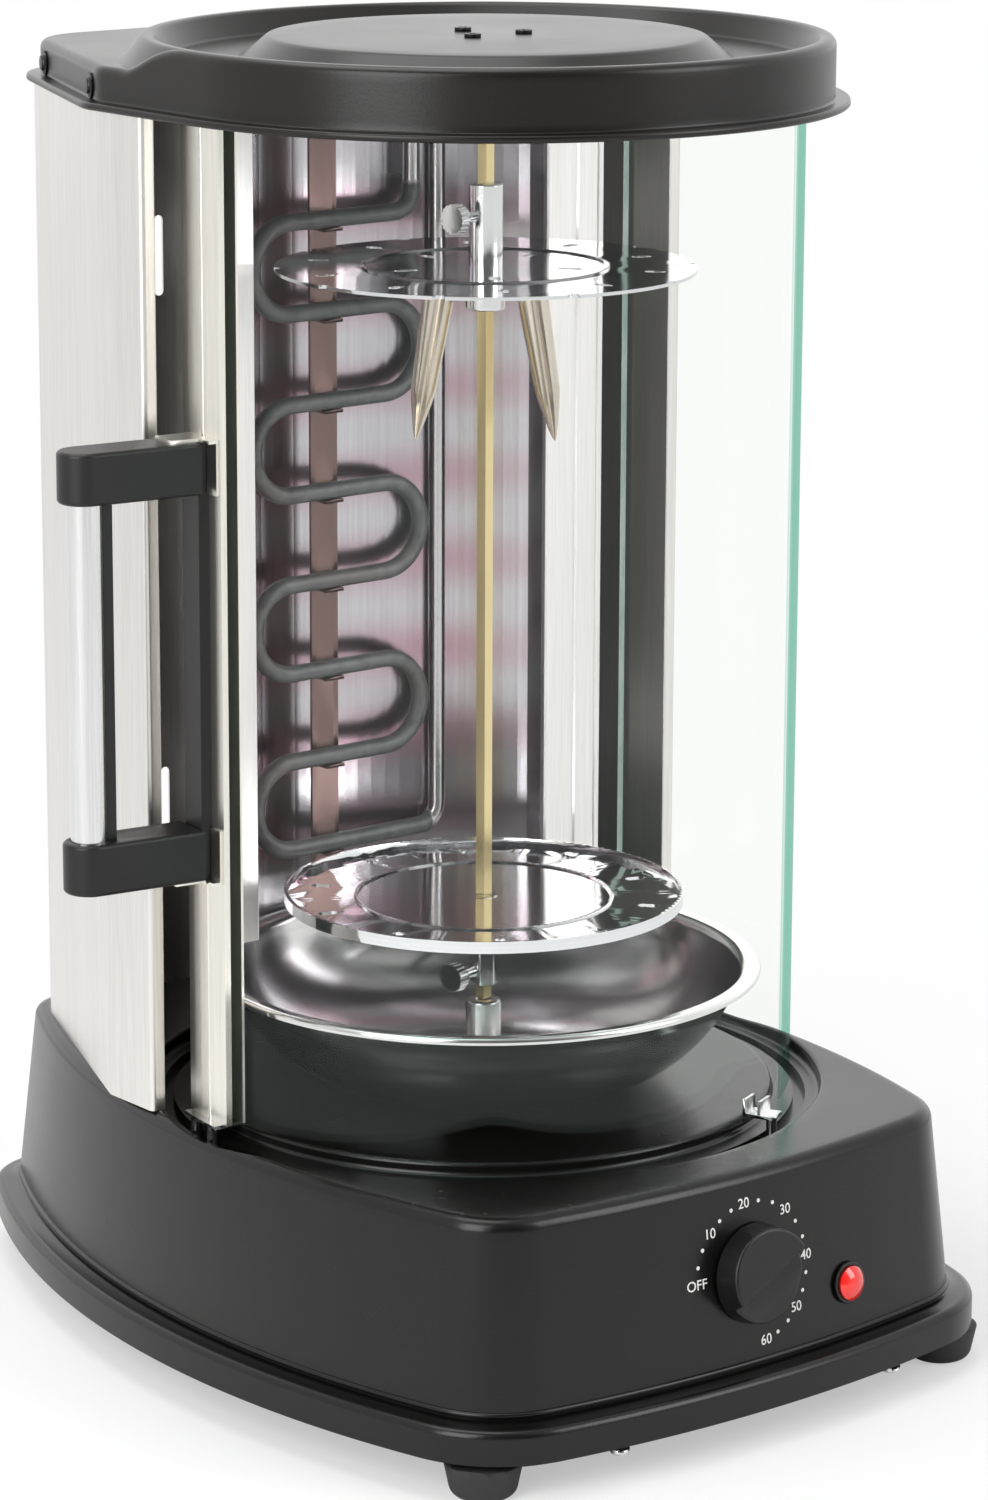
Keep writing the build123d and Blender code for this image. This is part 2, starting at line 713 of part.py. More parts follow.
# ---------------------------------------------------------------- cap
slant = Vector(wall_rear_x - wall_x, wall_rear - wall_bend, 0).normalized()
cap_screw_planes = []
for step in cap_screw_steps:
    seat = Vector(wall_x, wall_bend, cap_screw_z) + slant * step
    for side in (1, -1):
        spot = (side * seat.X, seat.Y, seat.Z)
        cap_screw_planes.append(Plane(origin=spot, x_dir=(0, 0, 1), z_dir=(side * slant.Y, -slant.X, 0)))

with BuildPart() as cap_shell:
    with BuildSketch(Plane.XY.offset(chamber_top)):
        add(cap_plan(brim))
    extrude(amount=brim_thick)
    fillet(cap_shell.edges().group_by(Axis.Z)[-1], radius=1.2)
    with BuildSketch(Plane.XY.offset(cap_brim_top)):
        add(cap_plan())
    extrude(amount=cap_deck - cap_brim_top)
    fillet(cap_shell.edges().group_by(Axis.Z)[-1], radius=cap_round - 2)
    # round ridge, a ring channel inside it, and the flat middle
    with BuildSketch(Plane.XZ) as ridge:
        with BuildLine():
            Polyline(
                (0, cap_brim_top),
                (wall_x, cap_brim_top),
                (wall_x, cap_top),
                (wall_x - cap_round, cap_top),
                (wall_x - 2 * cap_round, channel_floor),
                (plateau_radius + 22, channel_floor),
                (plateau_radius, plateau_z),
                (0, plateau_z),
                close=True,
            )
        make_face()
        fillet(ridge.vertices().sort_by(Axis.Y)[-2:], radius=cap_round / 2)
    revolve(axis=Axis.Z)
    # hollow inside
    with BuildSketch(Plane.XY.offset(chamber_top)):
        add(cap_plan(-cap_wall))
    extrude(amount=cap_deck - cap_wall - chamber_top, mode=Mode.SUBTRACT)
    with BuildSketch(Plane.XY.offset(cap_deck - cap_wall)):
        Circle(plateau_radius - cap_wall)
    extrude(amount=plateau_z - cap_deck, mode=Mode.SUBTRACT)
    with BuildSketch(Plane.XY.offset(plateau_z)):
        with PolarLocations(motor_screw_circle, 3, start_angle=90):
            Circle(1.6)
    extrude(amount=-cap_wall, mode=Mode.SUBTRACT)
    with Locations(*cap_screw_planes):
        Cylinder(cap_screw_shank, 4 * cap_wall, mode=Mode.SUBTRACT)
keep(cap_shell.part, "cap_shell")

with BuildPart() as cap_base:
    with BuildSketch(Plane.XY.offset(chamber_top)):
        add(cap_plan(-cap_wall - play))
        Circle(top_track_outer, mode=Mode.SUBTRACT)
        Circle(top_track_inner)
        Circle(coupling_radius + 1, mode=Mode.SUBTRACT)
        with Locations((riser_near, element_y), (riser_far, element_y)):
            Circle(insulator_radius, mode=Mode.SUBTRACT)
        with Locations((0, duct_y)):
            Circle(duct_radius, mode=Mode.SUBTRACT)
    extrude(amount=cap_wall)
    with BuildSketch(Plane.XZ):
        with BuildLine():
            Polyline(
                (top_track_inner - 1.2, chamber_top),
                (top_track_inner, chamber_top),
                (top_track_inner, track_roof),
                (top_track_outer, track_roof),
                (top_track_outer, chamber_top),
                (top_track_outer + 1.2, chamber_top),
                (top_track_outer + 1.2, track_roof + 1.2),
                (top_track_inner - 1.2, track_roof + 1.2),
                close=True,
            )
        make_face()
    revolve(axis=Axis.Z)
keep(cap_base.part, "cap_base")

with BuildPart() as motor_screws:
    with BuildSketch(Plane.XY.offset(plateau_z)):
        with PolarLocations(motor_screw_circle, 3, start_angle=90):
            Circle(2.9)
    extrude(amount=1.2)
    with BuildSketch(Plane.XY.offset(plateau_z)):
        with PolarLocations(motor_screw_circle, 3, start_angle=90):
            Circle(1.5)
    extrude(amount=-6)
    with BuildSketch(Plane.XY.offset(plateau_z + 0.8)):
        with PolarLocations(motor_screw_circle, 3, start_angle=90):
            Rectangle(4.4, 0.8)
            Rectangle(0.8, 4.4)
    extrude(amount=2, mode=Mode.SUBTRACT)
keep(motor_screws.part, "motor_screws")

# ---------------------------------------------------------------- rear housing
with BuildPart() as rear_housing:
    with BuildSketch(Plane.XY.offset(base_top)):
        with BuildLine():
            FilletPolyline(
                (-wall_x + 5, wall_front),
                (-wall_x, wall_front),
                (-wall_x, wall_bend),
                (-wall_rear_x, wall_rear),
                (wall_rear_x, wall_rear),
                (wall_x, wall_bend),
                (wall_x, wall_front),
                (wall_x - 5, wall_front),
                radius=[1.5, 4, 12, 12, 4, 1.5],
            )
            offset(amount=sheet / 2, side=Side.BOTH)
        make_face()
    extrude(amount=chamber_top - base_top)
    with BuildSketch(Plane.XZ.offset(-wall_rear - 5)):
        with Locations((0, base_top + 0.2 * chamber_height), (0, base_top + 0.8 * chamber_height)):
            with GridLocations(wall_rear_x / 5, 0, 6, 1):
                SlotOverall(30, 4, rotation=90)
    extrude(amount=10, mode=Mode.SUBTRACT)
keep(rear_housing.part, "rear_housing")

with BuildPart() as liner:
    with BuildSketch(Plane.XY.offset(base_top)):
        Circle(liner_outer)
        Circle(liner_outer - sheet, mode=Mode.SUBTRACT)
        with Locations((0, jamb_y)):
            Rectangle(3 * liner_outer, 2 * liner_outer, align=(Align.CENTER, Align.MAX), mode=Mode.SUBTRACT)
    extrude(amount=chamber_top - base_top)
    with BuildSketch(Plane.XY.offset(strip_bottom)):
        for side in (1, -1):
            with Locations((side * (jamb_inner_x + flange_outer_x) / 2, jamb_y + sheet / 2)):
                Rectangle(flange_outer_x - jamb_inner_x, sheet)
            with Locations((side * (jamb_inner_x + sheet / 2), jamb_y + 4)):
                Rectangle(sheet, 8)
    extrude(amount=strip_length)
keep(liner.part, "liner")

for side, label in ((-1, "jamb_left"), (1, "jamb_right")):
    with BuildPart() as jamb:
        with BuildSketch(Plane.XY.offset(strip_bottom)):
            with Locations((side * (jamb_inner_x + jamb_width / 2), jamb_y - jamb_thick / 2)):
                Rectangle(jamb_width, jamb_thick)
            with Locations((side * (jamb_inner_x + 0.56 * jamb_width), jamb_y - jamb_thick)):
                Rectangle(1.6, jamb_thick, mode=Mode.SUBTRACT)
        extrude(amount=strip_length)
    keep(jamb.part, label)

# ---------------------------------------------------------------- heating element
pitch = (element_top - element_bottom) / (element_bars - 1)
bend = pitch / 2
straight = element_reach - bend
riser_top = chamber_top + cap_wall + 6
with BuildPart() as heating_element:
    with BuildLine(Plane.XZ.offset(-element_y)) as path:
        riser = Line((riser_near, riser_top), (riser_near, element_top + riser_bend))
        corner = TangentArc(riser @ 1, (riser_near - riser_bend, element_top), tangent=riser % 1)
        last = Line(corner @ 1, (-straight, element_top))
        for bar in range(1, element_bars):
            height = element_top - bar * pitch
            side = -1 if bar % 2 else 1
            turn = TangentArc(last @ 1, (last @ 1) - Vector(0, 0, pitch), tangent=last % 1)
            stop = riser_far - riser_bend if bar == element_bars - 1 else straight
            last = Line(turn @ 1, (-side * stop, height))
        corner_up = TangentArc(last @ 1, (riser_far, element_bottom + riser_bend), tangent=last % 1)
        Line(corner_up @ 1, (riser_far, riser_top))
    with BuildSketch(Plane(origin=riser @ 0, x_dir=(1, 0, 0), z_dir=(0, 0, -1))):
        Circle(tube_diameter / 2)
    sweep()
keep(heating_element.part, "heating_element")

with BuildPart() as element_insulators:
    with BuildSketch(Plane.XY.offset(chamber_top - 3)):
        with Locations((riser_near, element_y), (riser_far, element_y)):
            Circle(insulator_radius - fit)
            Circle(tube_diameter / 2, mode=Mode.SUBTRACT)
    extrude(amount=cap_wall + 7)
keep(element_insulators.part, "element_insulators")

support_back = element_y + tube_diameter / 2 + 1
with BuildPart() as element_support:
    with BuildSketch(Plane.XY.offset(strip_bottom)):
        with Locations((support_x, support_back + 0.6)):
            Rectangle(12, 1.2)
    extrude(amount=strip_length)
    with BuildSketch(Plane.XZ.offset(-support_back)):
        for bar in range(element_bars):
            with Locations((support_x, element_top - bar * pitch - tube_diameter / 2 - 0.6)):
                Rectangle(8, 1.2)
    extrude(amount=tube_diameter)
keep(element_support.part, "element_support")

with BuildPart() as thermal_cutout:
    with BuildSketch(Plane.XY.offset(base_top - base_wall)):
        with Locations((-20, 60)):
            Circle(8)
    extrude(amount=-9)
    fillet(thermal_cutout.edges().group_by(Axis.Z)[0], radius=1)
keep(thermal_cutout.part, "thermal_cutout")

with BuildPart() as wire_duct:
    with BuildSketch(Plane.XY.offset(base_top - base_deck)):
        with Locations((0, duct_y)):
            Circle(duct_radius)
            Circle(duct_radius - 1, mode=Mode.SUBTRACT)
    extrude(amount=chamber_top + cap_wall - base_top + base_deck)
keep(wire_duct.part, "wire_duct")

with BuildPart() as wire_loom:
    with BuildSketch(Plane.XY.offset(base_top - base_deck - 12)):
        with Locations((0, duct_y)):
            with GridLocations(2.5, 2.5, 2, 2):
                Circle(1.25)
    extrude(amount=chamber_top + cap_wall + 4 - base_top + base_deck + 12)
keep(wire_loom.part, "wire_loom")


# ---------------------------------------------------------------- turning door
def ring_piece(inner, outer, start, stop, bottom, height):
    """Piece of an upright ring between two angles from the front."""
    with BuildPart() as piece:
        with BuildSketch(at_angle(start)):
            with Locations(((inner + outer) / 2, bottom + height / 2)):
                Rectangle(outer - inner, height)
        revolve(axis=Axis.Z, revolution_arc=stop - start)
    return piece.part


glass_left = door_left + 4
glass_height = glass_top - glass_bottom
stile_inner = top_track_inner + play
stile_outer = glass_outer + stile_cover
with BuildPart() as door_glass:
    add(ring_piece(glass_inner, glass_outer, glass_left, door_right, glass_bottom, glass_height))
keep(door_glass.part, "door_glass")

with BuildPart() as door_stile:
    add(ring_piece(stile_inner, stile_outer, door_left, stile_right, glass_bottom, glass_height))
    add(ring_piece(glass_inner, glass_outer, glass_left, stile_right + 1, 0, 2 * chamber_top), mode=Mode.SUBTRACT)
    # the fold that runs up the outer face
    fold = level_at(stile_right - 0.42 * (stile_right - door_left), glass_bottom)
    with BuildSketch(fold):
        with Locations((stile_outer, 0)):
            Circle(0.9)
    extrude(amount=glass_height, mode=Mode.SUBTRACT)
keep(door_stile.part, "door_stile")

shoe_places = ((handle_angle, 5.5), (24, 2.2), (107, 2.2))
with BuildPart() as lower_guides:
    for angle, spread in shoe_places:
        start, stop = angle - spread, angle + spread
        shoe_inner, shoe_outer = glass_inner - 1.2, slot_radius + slot_width / 2
        add(ring_piece(shoe_inner, shoe_outer, start, stop, base_top + play, door_gap - play))
        if angle != handle_angle:
            add(ring_piece(shoe_inner, glass_inner, start, stop, glass_bottom, 5))
            add(ring_piece(glass_outer, glass_outer + 1.2, start, stop, glass_bottom, 5))
        for pin_angle in (angle - 0.55 * spread, angle + 0.55 * spread) if spread > 3 else (angle,):
            with BuildSketch(level_at(pin_angle, track_floor - slot_depth + 0.6)):
                with Locations((slot_radius, 0)):
                    Circle(slot_width / 2 - play)
            extrude(amount=track_depth + slot_depth)
keep(lower_guides.part, "lower_guides")

with BuildPart() as upper_guides:
    for angle, spread in shoe_places:
        start, stop = angle - spread, angle + spread
        shoe_inner, shoe_outer = top_track_inner + play, top_track_outer - play
        add(ring_piece(shoe_inner, shoe_outer, start, stop, glass_top, track_roof - glass_top - 1))
        if angle != handle_angle:
            add(ring_piece(shoe_inner, glass_inner, start, stop, glass_top - 5, 5))
            add(ring_piece(glass_outer, glass_outer + 1.2, start, stop, glass_top - 5, 5))
keep(upper_guides.part, "upper_guides")

with BuildPart() as handle_backing:
    with BuildSketch(level_at(handle_angle, handle_bottom)):
        with Locations((stile_outer - 1, 0)):
            Rectangle(5, backing_width, align=(Align.MIN, Align.CENTER))
    extrude(amount=handle_top - handle_bottom)
    add(ring_piece(stile_inner, stile_outer, door_left, stile_right, 0, 2 * handle_top), mode=Mode.SUBTRACT)
keep(handle_backing.part, "handle_backing")
backing_outer = stile_outer + 4


def handle_bracket(bottom):
    """Moulded arm from the stile to one end of the grip, round at the far end."""
    with BuildPart() as arm:
        with BuildSketch(level_at(handle_angle, bottom)):
            with Locations((backing_outer, 0)):
                Rectangle(handle_out - backing_outer, bracket_width, align=(Align.MIN, Align.CENTER))
            with Locations((handle_out, 0)):
                Circle(bracket_width / 2)
        extrude(amount=bracket_height)
        fillet(arm.edges().group_by(Axis.Z)[-1] + arm.edges().group_by(Axis.Z)[0], radius=1.5)
        with BuildSketch(level_at(handle_angle, handle_bottom + bracket_height - grip_seat)):
            with Locations((handle_out, 0)):
                Circle(grip_diameter / 2)
        extrude(amount=handle_top - handle_bottom - 2 * (bracket_height - grip_seat), mode=Mode.SUBTRACT)
    return arm.part


keep(handle_bracket(handle_top - bracket_height), "handle_bracket_top")
keep(handle_bracket(handle_bottom), "handle_bracket_bottom")

with BuildPart() as handle_grip:
    with BuildSketch(level_at(handle_angle, handle_bottom + bracket_height - grip_seat)):
        with Locations((handle_out, 0)):
            Circle(grip_diameter / 2)
            Circle(grip_diameter / 2 - 1.2, mode=Mode.SUBTRACT)
    extrude(amount=handle_top - handle_bottom - 2 * (bracket_height - grip_seat))
keep(handle_grip.part, "handle_grip")

with BuildPart() as grip_spine:
    with BuildSketch(level_at(handle_angle, handle_bottom + bracket_height)):
        with Locations((handle_out - grip_diameter / 2 + 1, 0)):
            Rectangle(spine_depth + 1, spine_width, align=(Align.MAX, Align.CENTER))
        with Locations((handle_out, 0)):
            Circle(grip_diameter / 2 + fit, mode=Mode.SUBTRACT)
    extrude(amount=handle_height - 2 * bracket_height)
keep(grip_spine.part, "grip_spine")

clip_start = handle_angle + degrees((backing_width / 2 + play) / stile_outer)
clip_end = handle_angle + clip_reach
with BuildPart() as handle_clips:
    for tab, plate in (
        (handle_bottom - clip_sheet, handle_bottom - clip_sheet),
        (handle_top, handle_top - bracket_height),
    ):
        add(ring_piece(stile_outer, stile_outer + 4, 2 * handle_angle - clip_start, clip_end, tab, clip_sheet))
        add(ring_piece(stile_outer, stile_outer + 1, clip_start, clip_end, plate, bracket_height + clip_sheet))
        with BuildSketch(level_at(handle_angle, tab)):
            with Locations((stile_outer + 2, 0)):
                Rectangle(backing_width, backing_width, align=(Align.MIN, Align.CENTER))
        extrude(amount=clip_sheet)
keep(handle_clips.part, "handle_clips")

with BuildPart() as handle_screws:
    for height in (handle_bottom + bracket_height / 2, handle_top - bracket_height / 2):
        way = Plane(origin=(0, 0, height), x_dir=(0, 0, 1), z_dir=at_angle(handle_angle).x_dir)
        with BuildSketch(way.offset(stile_inner - 2 * fit)):
            Circle(3.2)
        extrude(amount=-1.2)
keep(handle_screws.part, "handle_screws")

with BuildPart() as cap_screws:
    for out in cap_screw_planes:
        with BuildSketch(out):
            Circle(4.2)
        extrude(amount=0.7)
        with BuildSketch(out.offset(0.7)):
            Circle(2.9)
        extrude(amount=1.1, taper=20)
        with BuildSketch(out):
            Circle(cap_screw_shank)
        extrude(amount=-cap_wall - 2)
keep(cap_screws.part, "cap_screws")

# ---------------------------------------------------------------- common frame
whole = Compound(pieces).bounding_box()
frame_shift = Pos(-(whole.min.X + whole.max.X) / 2, -(whole.min.Y + whole.max.Y) / 2, 0)
os.makedirs("parts", exist_ok=True)
for part in pieces:
    label = part.label
    placed = frame_shift * part
    placed.label = label
    export_step(placed, f"parts/{label}.step")
print("spit axis at", frame_shift.position, "size", whole.size, "pieces", len(pieces))
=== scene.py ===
import json
import math

import bmesh
import bpy
import numpy as np
from mathutils import Matrix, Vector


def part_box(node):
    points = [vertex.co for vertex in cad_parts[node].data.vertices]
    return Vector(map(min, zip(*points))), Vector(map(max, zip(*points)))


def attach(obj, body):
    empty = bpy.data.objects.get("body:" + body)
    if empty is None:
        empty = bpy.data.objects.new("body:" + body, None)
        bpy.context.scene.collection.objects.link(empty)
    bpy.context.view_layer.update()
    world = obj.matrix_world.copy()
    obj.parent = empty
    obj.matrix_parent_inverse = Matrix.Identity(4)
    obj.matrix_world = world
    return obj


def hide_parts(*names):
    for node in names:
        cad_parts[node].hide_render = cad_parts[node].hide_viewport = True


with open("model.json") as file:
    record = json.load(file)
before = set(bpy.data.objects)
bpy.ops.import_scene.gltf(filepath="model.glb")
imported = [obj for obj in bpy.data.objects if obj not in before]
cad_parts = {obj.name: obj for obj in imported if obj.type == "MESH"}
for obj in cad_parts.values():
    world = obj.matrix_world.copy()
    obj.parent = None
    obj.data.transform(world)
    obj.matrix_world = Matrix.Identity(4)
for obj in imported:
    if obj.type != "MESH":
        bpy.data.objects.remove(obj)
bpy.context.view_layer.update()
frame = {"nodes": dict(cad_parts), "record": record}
nodes = frame["nodes"]
scene = bpy.context.scene
mm = 0.001

spitLow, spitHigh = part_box("spit_rod")
axisX, axisY = (spitLow.x + spitHigh.x) / 2, (spitLow.y + spitHigh.y) / 2  # the spit's axis, in metres


def fromAxis(x, y, z):
    # millimetres from the spit's axis and the floor, turned into the shared frame
    return (x * mm + axisX, y * mm + axisY, z * mm)


# camera
cameraFacts = {
    "distance": 1720.0,  # from the spit's axis, level
    "height": 634.0,
    "azimuth": 0.676,  # to the left of the front
    "pitch": 0.2347,
    "roll": 0.0031,
    "focalPixels": 4975.0,
    "centre": (484.3, 725.8),
    "frame": (988, 1500),
}


def aimCamera(facts):
    turn, dip, roll = facts["azimuth"], facts["pitch"], facts["roll"]
    ahead = np.array([math.sin(turn) * math.cos(dip), math.cos(turn) * math.cos(dip), -math.sin(dip)])
    right = np.array([math.cos(turn), -math.sin(turn), 0.0])
    up = np.cross(right, ahead)
    side = math.cos(roll) * right + math.sin(roll) * up
    top = math.cos(roll) * up - math.sin(roll) * right
    camera = bpy.data.cameras.new("photoCamera")
    holder = bpy.data.objects.new("photoCamera", camera)
    scene.collection.objects.link(holder)
    spot = fromAxis(-facts["distance"] * math.sin(turn), -facts["distance"] * math.cos(turn), facts["height"])
    matrix = np.eye(4)
    matrix[:3, 0], matrix[:3, 1], matrix[:3, 2], matrix[:3, 3] = side, top, -ahead, spot
    holder.matrix_world = Matrix(matrix.tolist())
    width, height = facts["frame"]
    camera.sensor_fit = "HORIZONTAL"
    camera.sensor_width = 36.0
    camera.lens = facts["focalPixels"] / width * camera.sensor_width
    camera.shift_x = (width / 2 - facts["centre"][0]) / width
    camera.shift_y = (facts["centre"][1] - height / 2) / width
    camera.clip_start, camera.clip_end = 0.05, 50
    scene.camera = holder


aimCamera(cameraFacts)
print("camera set")


# shader helpers
class Wire:
    # a socket that takes part in sums: an expression on wires adds its Math nodes
    def __init__(self, recipe, socket):
        self.recipe, self.socket = recipe, socket

    def maths(self, operation, *others):
        return self.recipe.add("ShaderNodeMath", {"operation": operation}, dict(enumerate((self, *others))))

    def __add__(self, other):
        return self.maths("ADD", other)

    def __radd__(self, other):
        return self.maths("ADD", other)

    def __sub__(self, other):
        return self.maths("SUBTRACT", other)

    def __rsub__(self, other):
        return self.recipe.add("ShaderNodeMath", {"operation": "SUBTRACT"}, {0: other, 1: self})

    def __mul__(self, other):
        return self.maths("MULTIPLY", other)

    def __rmul__(self, other):
        return self.maths("MULTIPLY", other)

    def __pow__(self, other):
        return self.maths("POWER", other)

    def sine(self):
        return self.maths("SINE")

    def ramp(self, low, high, start=0.0, end=1.0):
        values = {"Value": self, "From Min": low, "From Max": high, "To Min": start, "To Max": end}
        return self.recipe.add("ShaderNodeMapRange", {"clamp": True}, values)


class Recipe:
    # one material or world: a method that adds any node, and the shader that ends in the output
    def __init__(self, name, world=None):
        self.material = world or bpy.data.materials.new(name)
        self.material.use_nodes = True
        self.tree = self.material.node_tree
        self.tree.nodes.clear()
        self.output = self.tree.nodes.new("ShaderNodeOutputWorld" if world else "ShaderNodeOutputMaterial")

    def add(self, kind, settings=None, values=None, out=0):
        node = self.tree.nodes.new(kind)
        for name, value in (settings or {}).items():
            setattr(node, name, value)
        for key, value in (values or {}).items():
            if isinstance(value, Wire):
                self.tree.links.new(value.socket, node.inputs[key])
            else:
                node.inputs[key].default_value = value
        return Wire(self, node.outputs[out])

    def spot(self):
        return self.add("ShaderNodeTexCoord", out="Object")

    def axes(self):
        first = self.add("ShaderNodeSeparateXYZ", None, {0: self.spot()})
        return [Wire(self, out) for out in first.socket.node.outputs]

    def stretched(self, scale):
        return self.add("ShaderNodeMapping", None, {"Vector": self.spot(), "Scale": scale})

    def noise(self, scale, stretch=(1, 1, 1), detail=4.0, rough=0.55):
        values = {"Vector": self.stretched(stretch), "Scale": scale, "Detail": detail, "Roughness": rough}
        return self.add("ShaderNodeTexNoise", None, values)

    def mixed(self, share, first, second):
        # the colour mix sits on sockets 6 and 7 of a Mix node set to colours
        return self.add("ShaderNodeMix", {"data_type": "RGBA"}, {0: share, 6: first, 7: second}, out=2)

    def bump(self, height, strength, distance):
        values = {"Height": height, "Strength": strength, "Distance": distance}
        return self.add("ShaderNodeBump", None, values)

    def surface(self, **values):
        values = {name.replace("_", " "): value for name, value in values.items()}
        return self.end(self.add("ShaderNodeBsdfPrincipled", None, values))

    def end(self, shader):
        self.tree.links.new(shader.socket, self.output.inputs[0])
        return self.material


def tone(red, green, blue):
    return (red, green, blue, 1.0)


def shade(colour, factor, lift=0.0):
    # the same colour, darker or lighter
    return tuple(min(1.0, part * factor + lift) for part in colour[:3]) + (1.0,)


# finishes
def satinPaint(name, colour, rough, grain=900.0):
    # moulded or enamelled black: a fine orange peel, and patches where the sheen differs a little
    r = Recipe(name)
    patches = r.noise(14.0, detail=3.0)
    peel = r.noise(grain, detail=2.0)
    dust = r.noise(180.0, detail=6.0, rough=0.7).ramp(0.62, 0.78)
    return r.surface(
        Base_Color=r.mixed(dust * 0.35, colour, shade(colour, 1.7, 0.004)),
        Roughness=rough + (patches - 0.5) * 0.12 + dust * 0.05,
        Normal=r.bump(peel, 0.08, 0.0004),
        Specular_IOR_Level=0.36,
    )


def brushedMetal(name, colour, rough, grain=(1, 1, 0.02), fineness=1400.0):
    # rolled or brushed sheet: lines much longer than wide, and broad clouds under them
    r = Recipe(name)
    lines = r.noise(fineness, grain, detail=3.0, rough=0.6)
    bands = r.noise(fineness / 9, grain, detail=2.0)
    clouds = r.noise(9.0, detail=3.0)
    worn = lines.ramp(0.35, 0.7) * 0.6 + bands.ramp(0.4, 0.7) * 0.25
    return r.surface(
        Base_Color=r.mixed(worn, colour, shade(colour, 0.82)),
        Metallic=1.0,
        Roughness=rough + (lines - 0.5) * 0.10 + (clouds - 0.5) * 0.06,
        Normal=r.bump(lines, 0.05, 0.0002),
    )


def polishedMetal(name, colour, rough):
    # bright pressed steel: faint wiping marks and a soft cloudiness
    r = Recipe(name)
    wipes = r.noise(240.0, (1, 6, 1), detail=5.0, rough=0.7)
    clouds = r.noise(22.0, detail=4.0)
    return r.surface(
        Base_Color=r.mixed(clouds.ramp(0.35, 0.75) * 0.5, colour, shade(colour, 0.86)),
        Metallic=1.0,
        Roughness=rough + (wipes - 0.5) * 0.04 + clouds * 0.04,
        Normal=r.bump(wipes, 0.03, 0.0002),
    )


def spunMetal(name, colour, rough, fineness=700.0, contrast=0.06, bump=0.04):
    # turned or pressed round the spit: fine rings, worked out from the distance to its axis
    r = Recipe(name)
    x, y, z = r.axes()
    dx, dy = x - axisX, y - axisY
    away = (dx * dx + dy * dy) ** 0.5
    place = r.add("ShaderNodeCombineXYZ", None, {0: away, 1: z, 2: 0.0})
    rings = r.add("ShaderNodeTexNoise", None, {"Vector": place, "Scale": fineness, "Detail": 3.0})
    clouds = r.noise(20.0, detail=5.0, rough=0.6)
    wipes = r.noise(160.0, (1, 5, 1), detail=5.0, rough=0.7)
    worn = rings.ramp(0.4, 0.7) * 0.35 + clouds.ramp(0.4, 0.8) * 0.25
    return r.surface(
        Base_Color=r.mixed(worn, colour, shade(colour, 0.84)),
        Metallic=1.0,
        Roughness=rough + (rings - 0.5) * contrast + (wipes - 0.5) * 0.04,
        Normal=r.bump(rings, bump, 0.0002),
    )


def glowReflectingSheet(name, colour, glowColour, rough, tint):
    # bright sheet behind the heating tube: upright rolling lines, and a painted reflection of the tube's
    # glow, a purple tint in bands at the height of each bar
    r = Recipe(name)
    x, y, z = r.axes()
    lines = r.noise(700.0, (1, 1, 0.015), detail=3.0)
    clouds = r.noise(16.0, (1, 1, 0.5), detail=4.0)
    # painted reflection of the tube's glow: a wave that peaks at each bar's height, near the back of the
    # liner, mixes in the purple colour
    pace = 2 * math.pi / tint["pitch"]
    wave = (z * pace + (math.pi / 2 - tint["firstBar"] * pace)).sine()
    low, high = tint["heights"]
    near = y.ramp(axisY + 0.045, axisY + 0.085) * z.ramp(low, low + 0.02) * z.ramp(high, high - 0.02)
    share = (wave * 0.35 + 0.35 + (clouds - 0.5) * 1.2).ramp(0.0, 1.0) * near * tint["strength"]
    plain = r.mixed(lines.ramp(0.35, 0.7) * 0.5, colour, shade(colour, 0.80))
    return r.surface(
        Base_Color=r.mixed(share, plain, glowColour),
        Metallic=1.0,
        Roughness=rough + (lines - 0.5) * 0.08 + (clouds - 0.5) * 0.08,
        Normal=r.bump(lines, 0.05, 0.0002),
    )


def sheathMetal():
    # oxidised sheath of the heating tube: mottled dark grey, dull, warmer in patches; the upright
    # ends, which stay cold, are still bright
    r = Recipe("elementSheath")
    x, y, z = r.axes()
    side, above = x.ramp(axisX + 0.0414, axisX + 0.0424), z.ramp(0.4045, 0.4065)
    cold = side + above - side * above
    mottle = r.noise(160.0, detail=6.0, rough=0.7)
    patches = r.noise(18.0, detail=3.0)
    dark = r.mixed(mottle.ramp(0.3, 0.75), tone(0.09, 0.095, 0.095), tone(0.20, 0.205, 0.205))
    warm = r.mixed(patches.ramp(0.5, 0.8) * 0.5, dark, tone(0.17, 0.125, 0.12))
    return r.surface(
        Base_Color=r.mixed(cold, warm, tone(0.58, 0.56, 0.57)),
        Metallic=0.35 + cold * 0.65,
        Roughness=0.48 - cold * 0.26 + (mottle - 0.5) * 0.2,
        Normal=r.bump(mottle, 0.25, 0.0004),
    )


def paneGlass(name, band):
    # clear pane: nearly all goes through, and only where the outer face is seen along the
    # thickness of the glass, at the outline, it turns green
    r = Recipe(name)
    facing = r.add("ShaderNodeLayerWeight", None, {"Blend": 0.5}, out="Facing")
    smear = r.noise(30.0, (1, 1, 0.4), detail=5.0)
    clear, green = tone(0.992, 0.996, 0.992), tone(0.50, 0.74, 0.66)
    tint = r.mixed(facing.ramp(0.745, 0.775) * band, clear, green)
    through = r.add("ShaderNodeBsdfTransparent", None, {"Color": tint})
    values = {"Color": tone(0.9, 1.0, 0.96), "Roughness": 0.01 + smear * 0.02}
    gloss = r.add("ShaderNodeBsdfGlossy", None, values)
    shine = 0.012 + facing.ramp(0.6, 1.0) ** 3 * 0.12 * band
    share = r.add("ShaderNodeMixShader", None, {0: shine, 1: through, 2: gloss})
    return r.end(share)


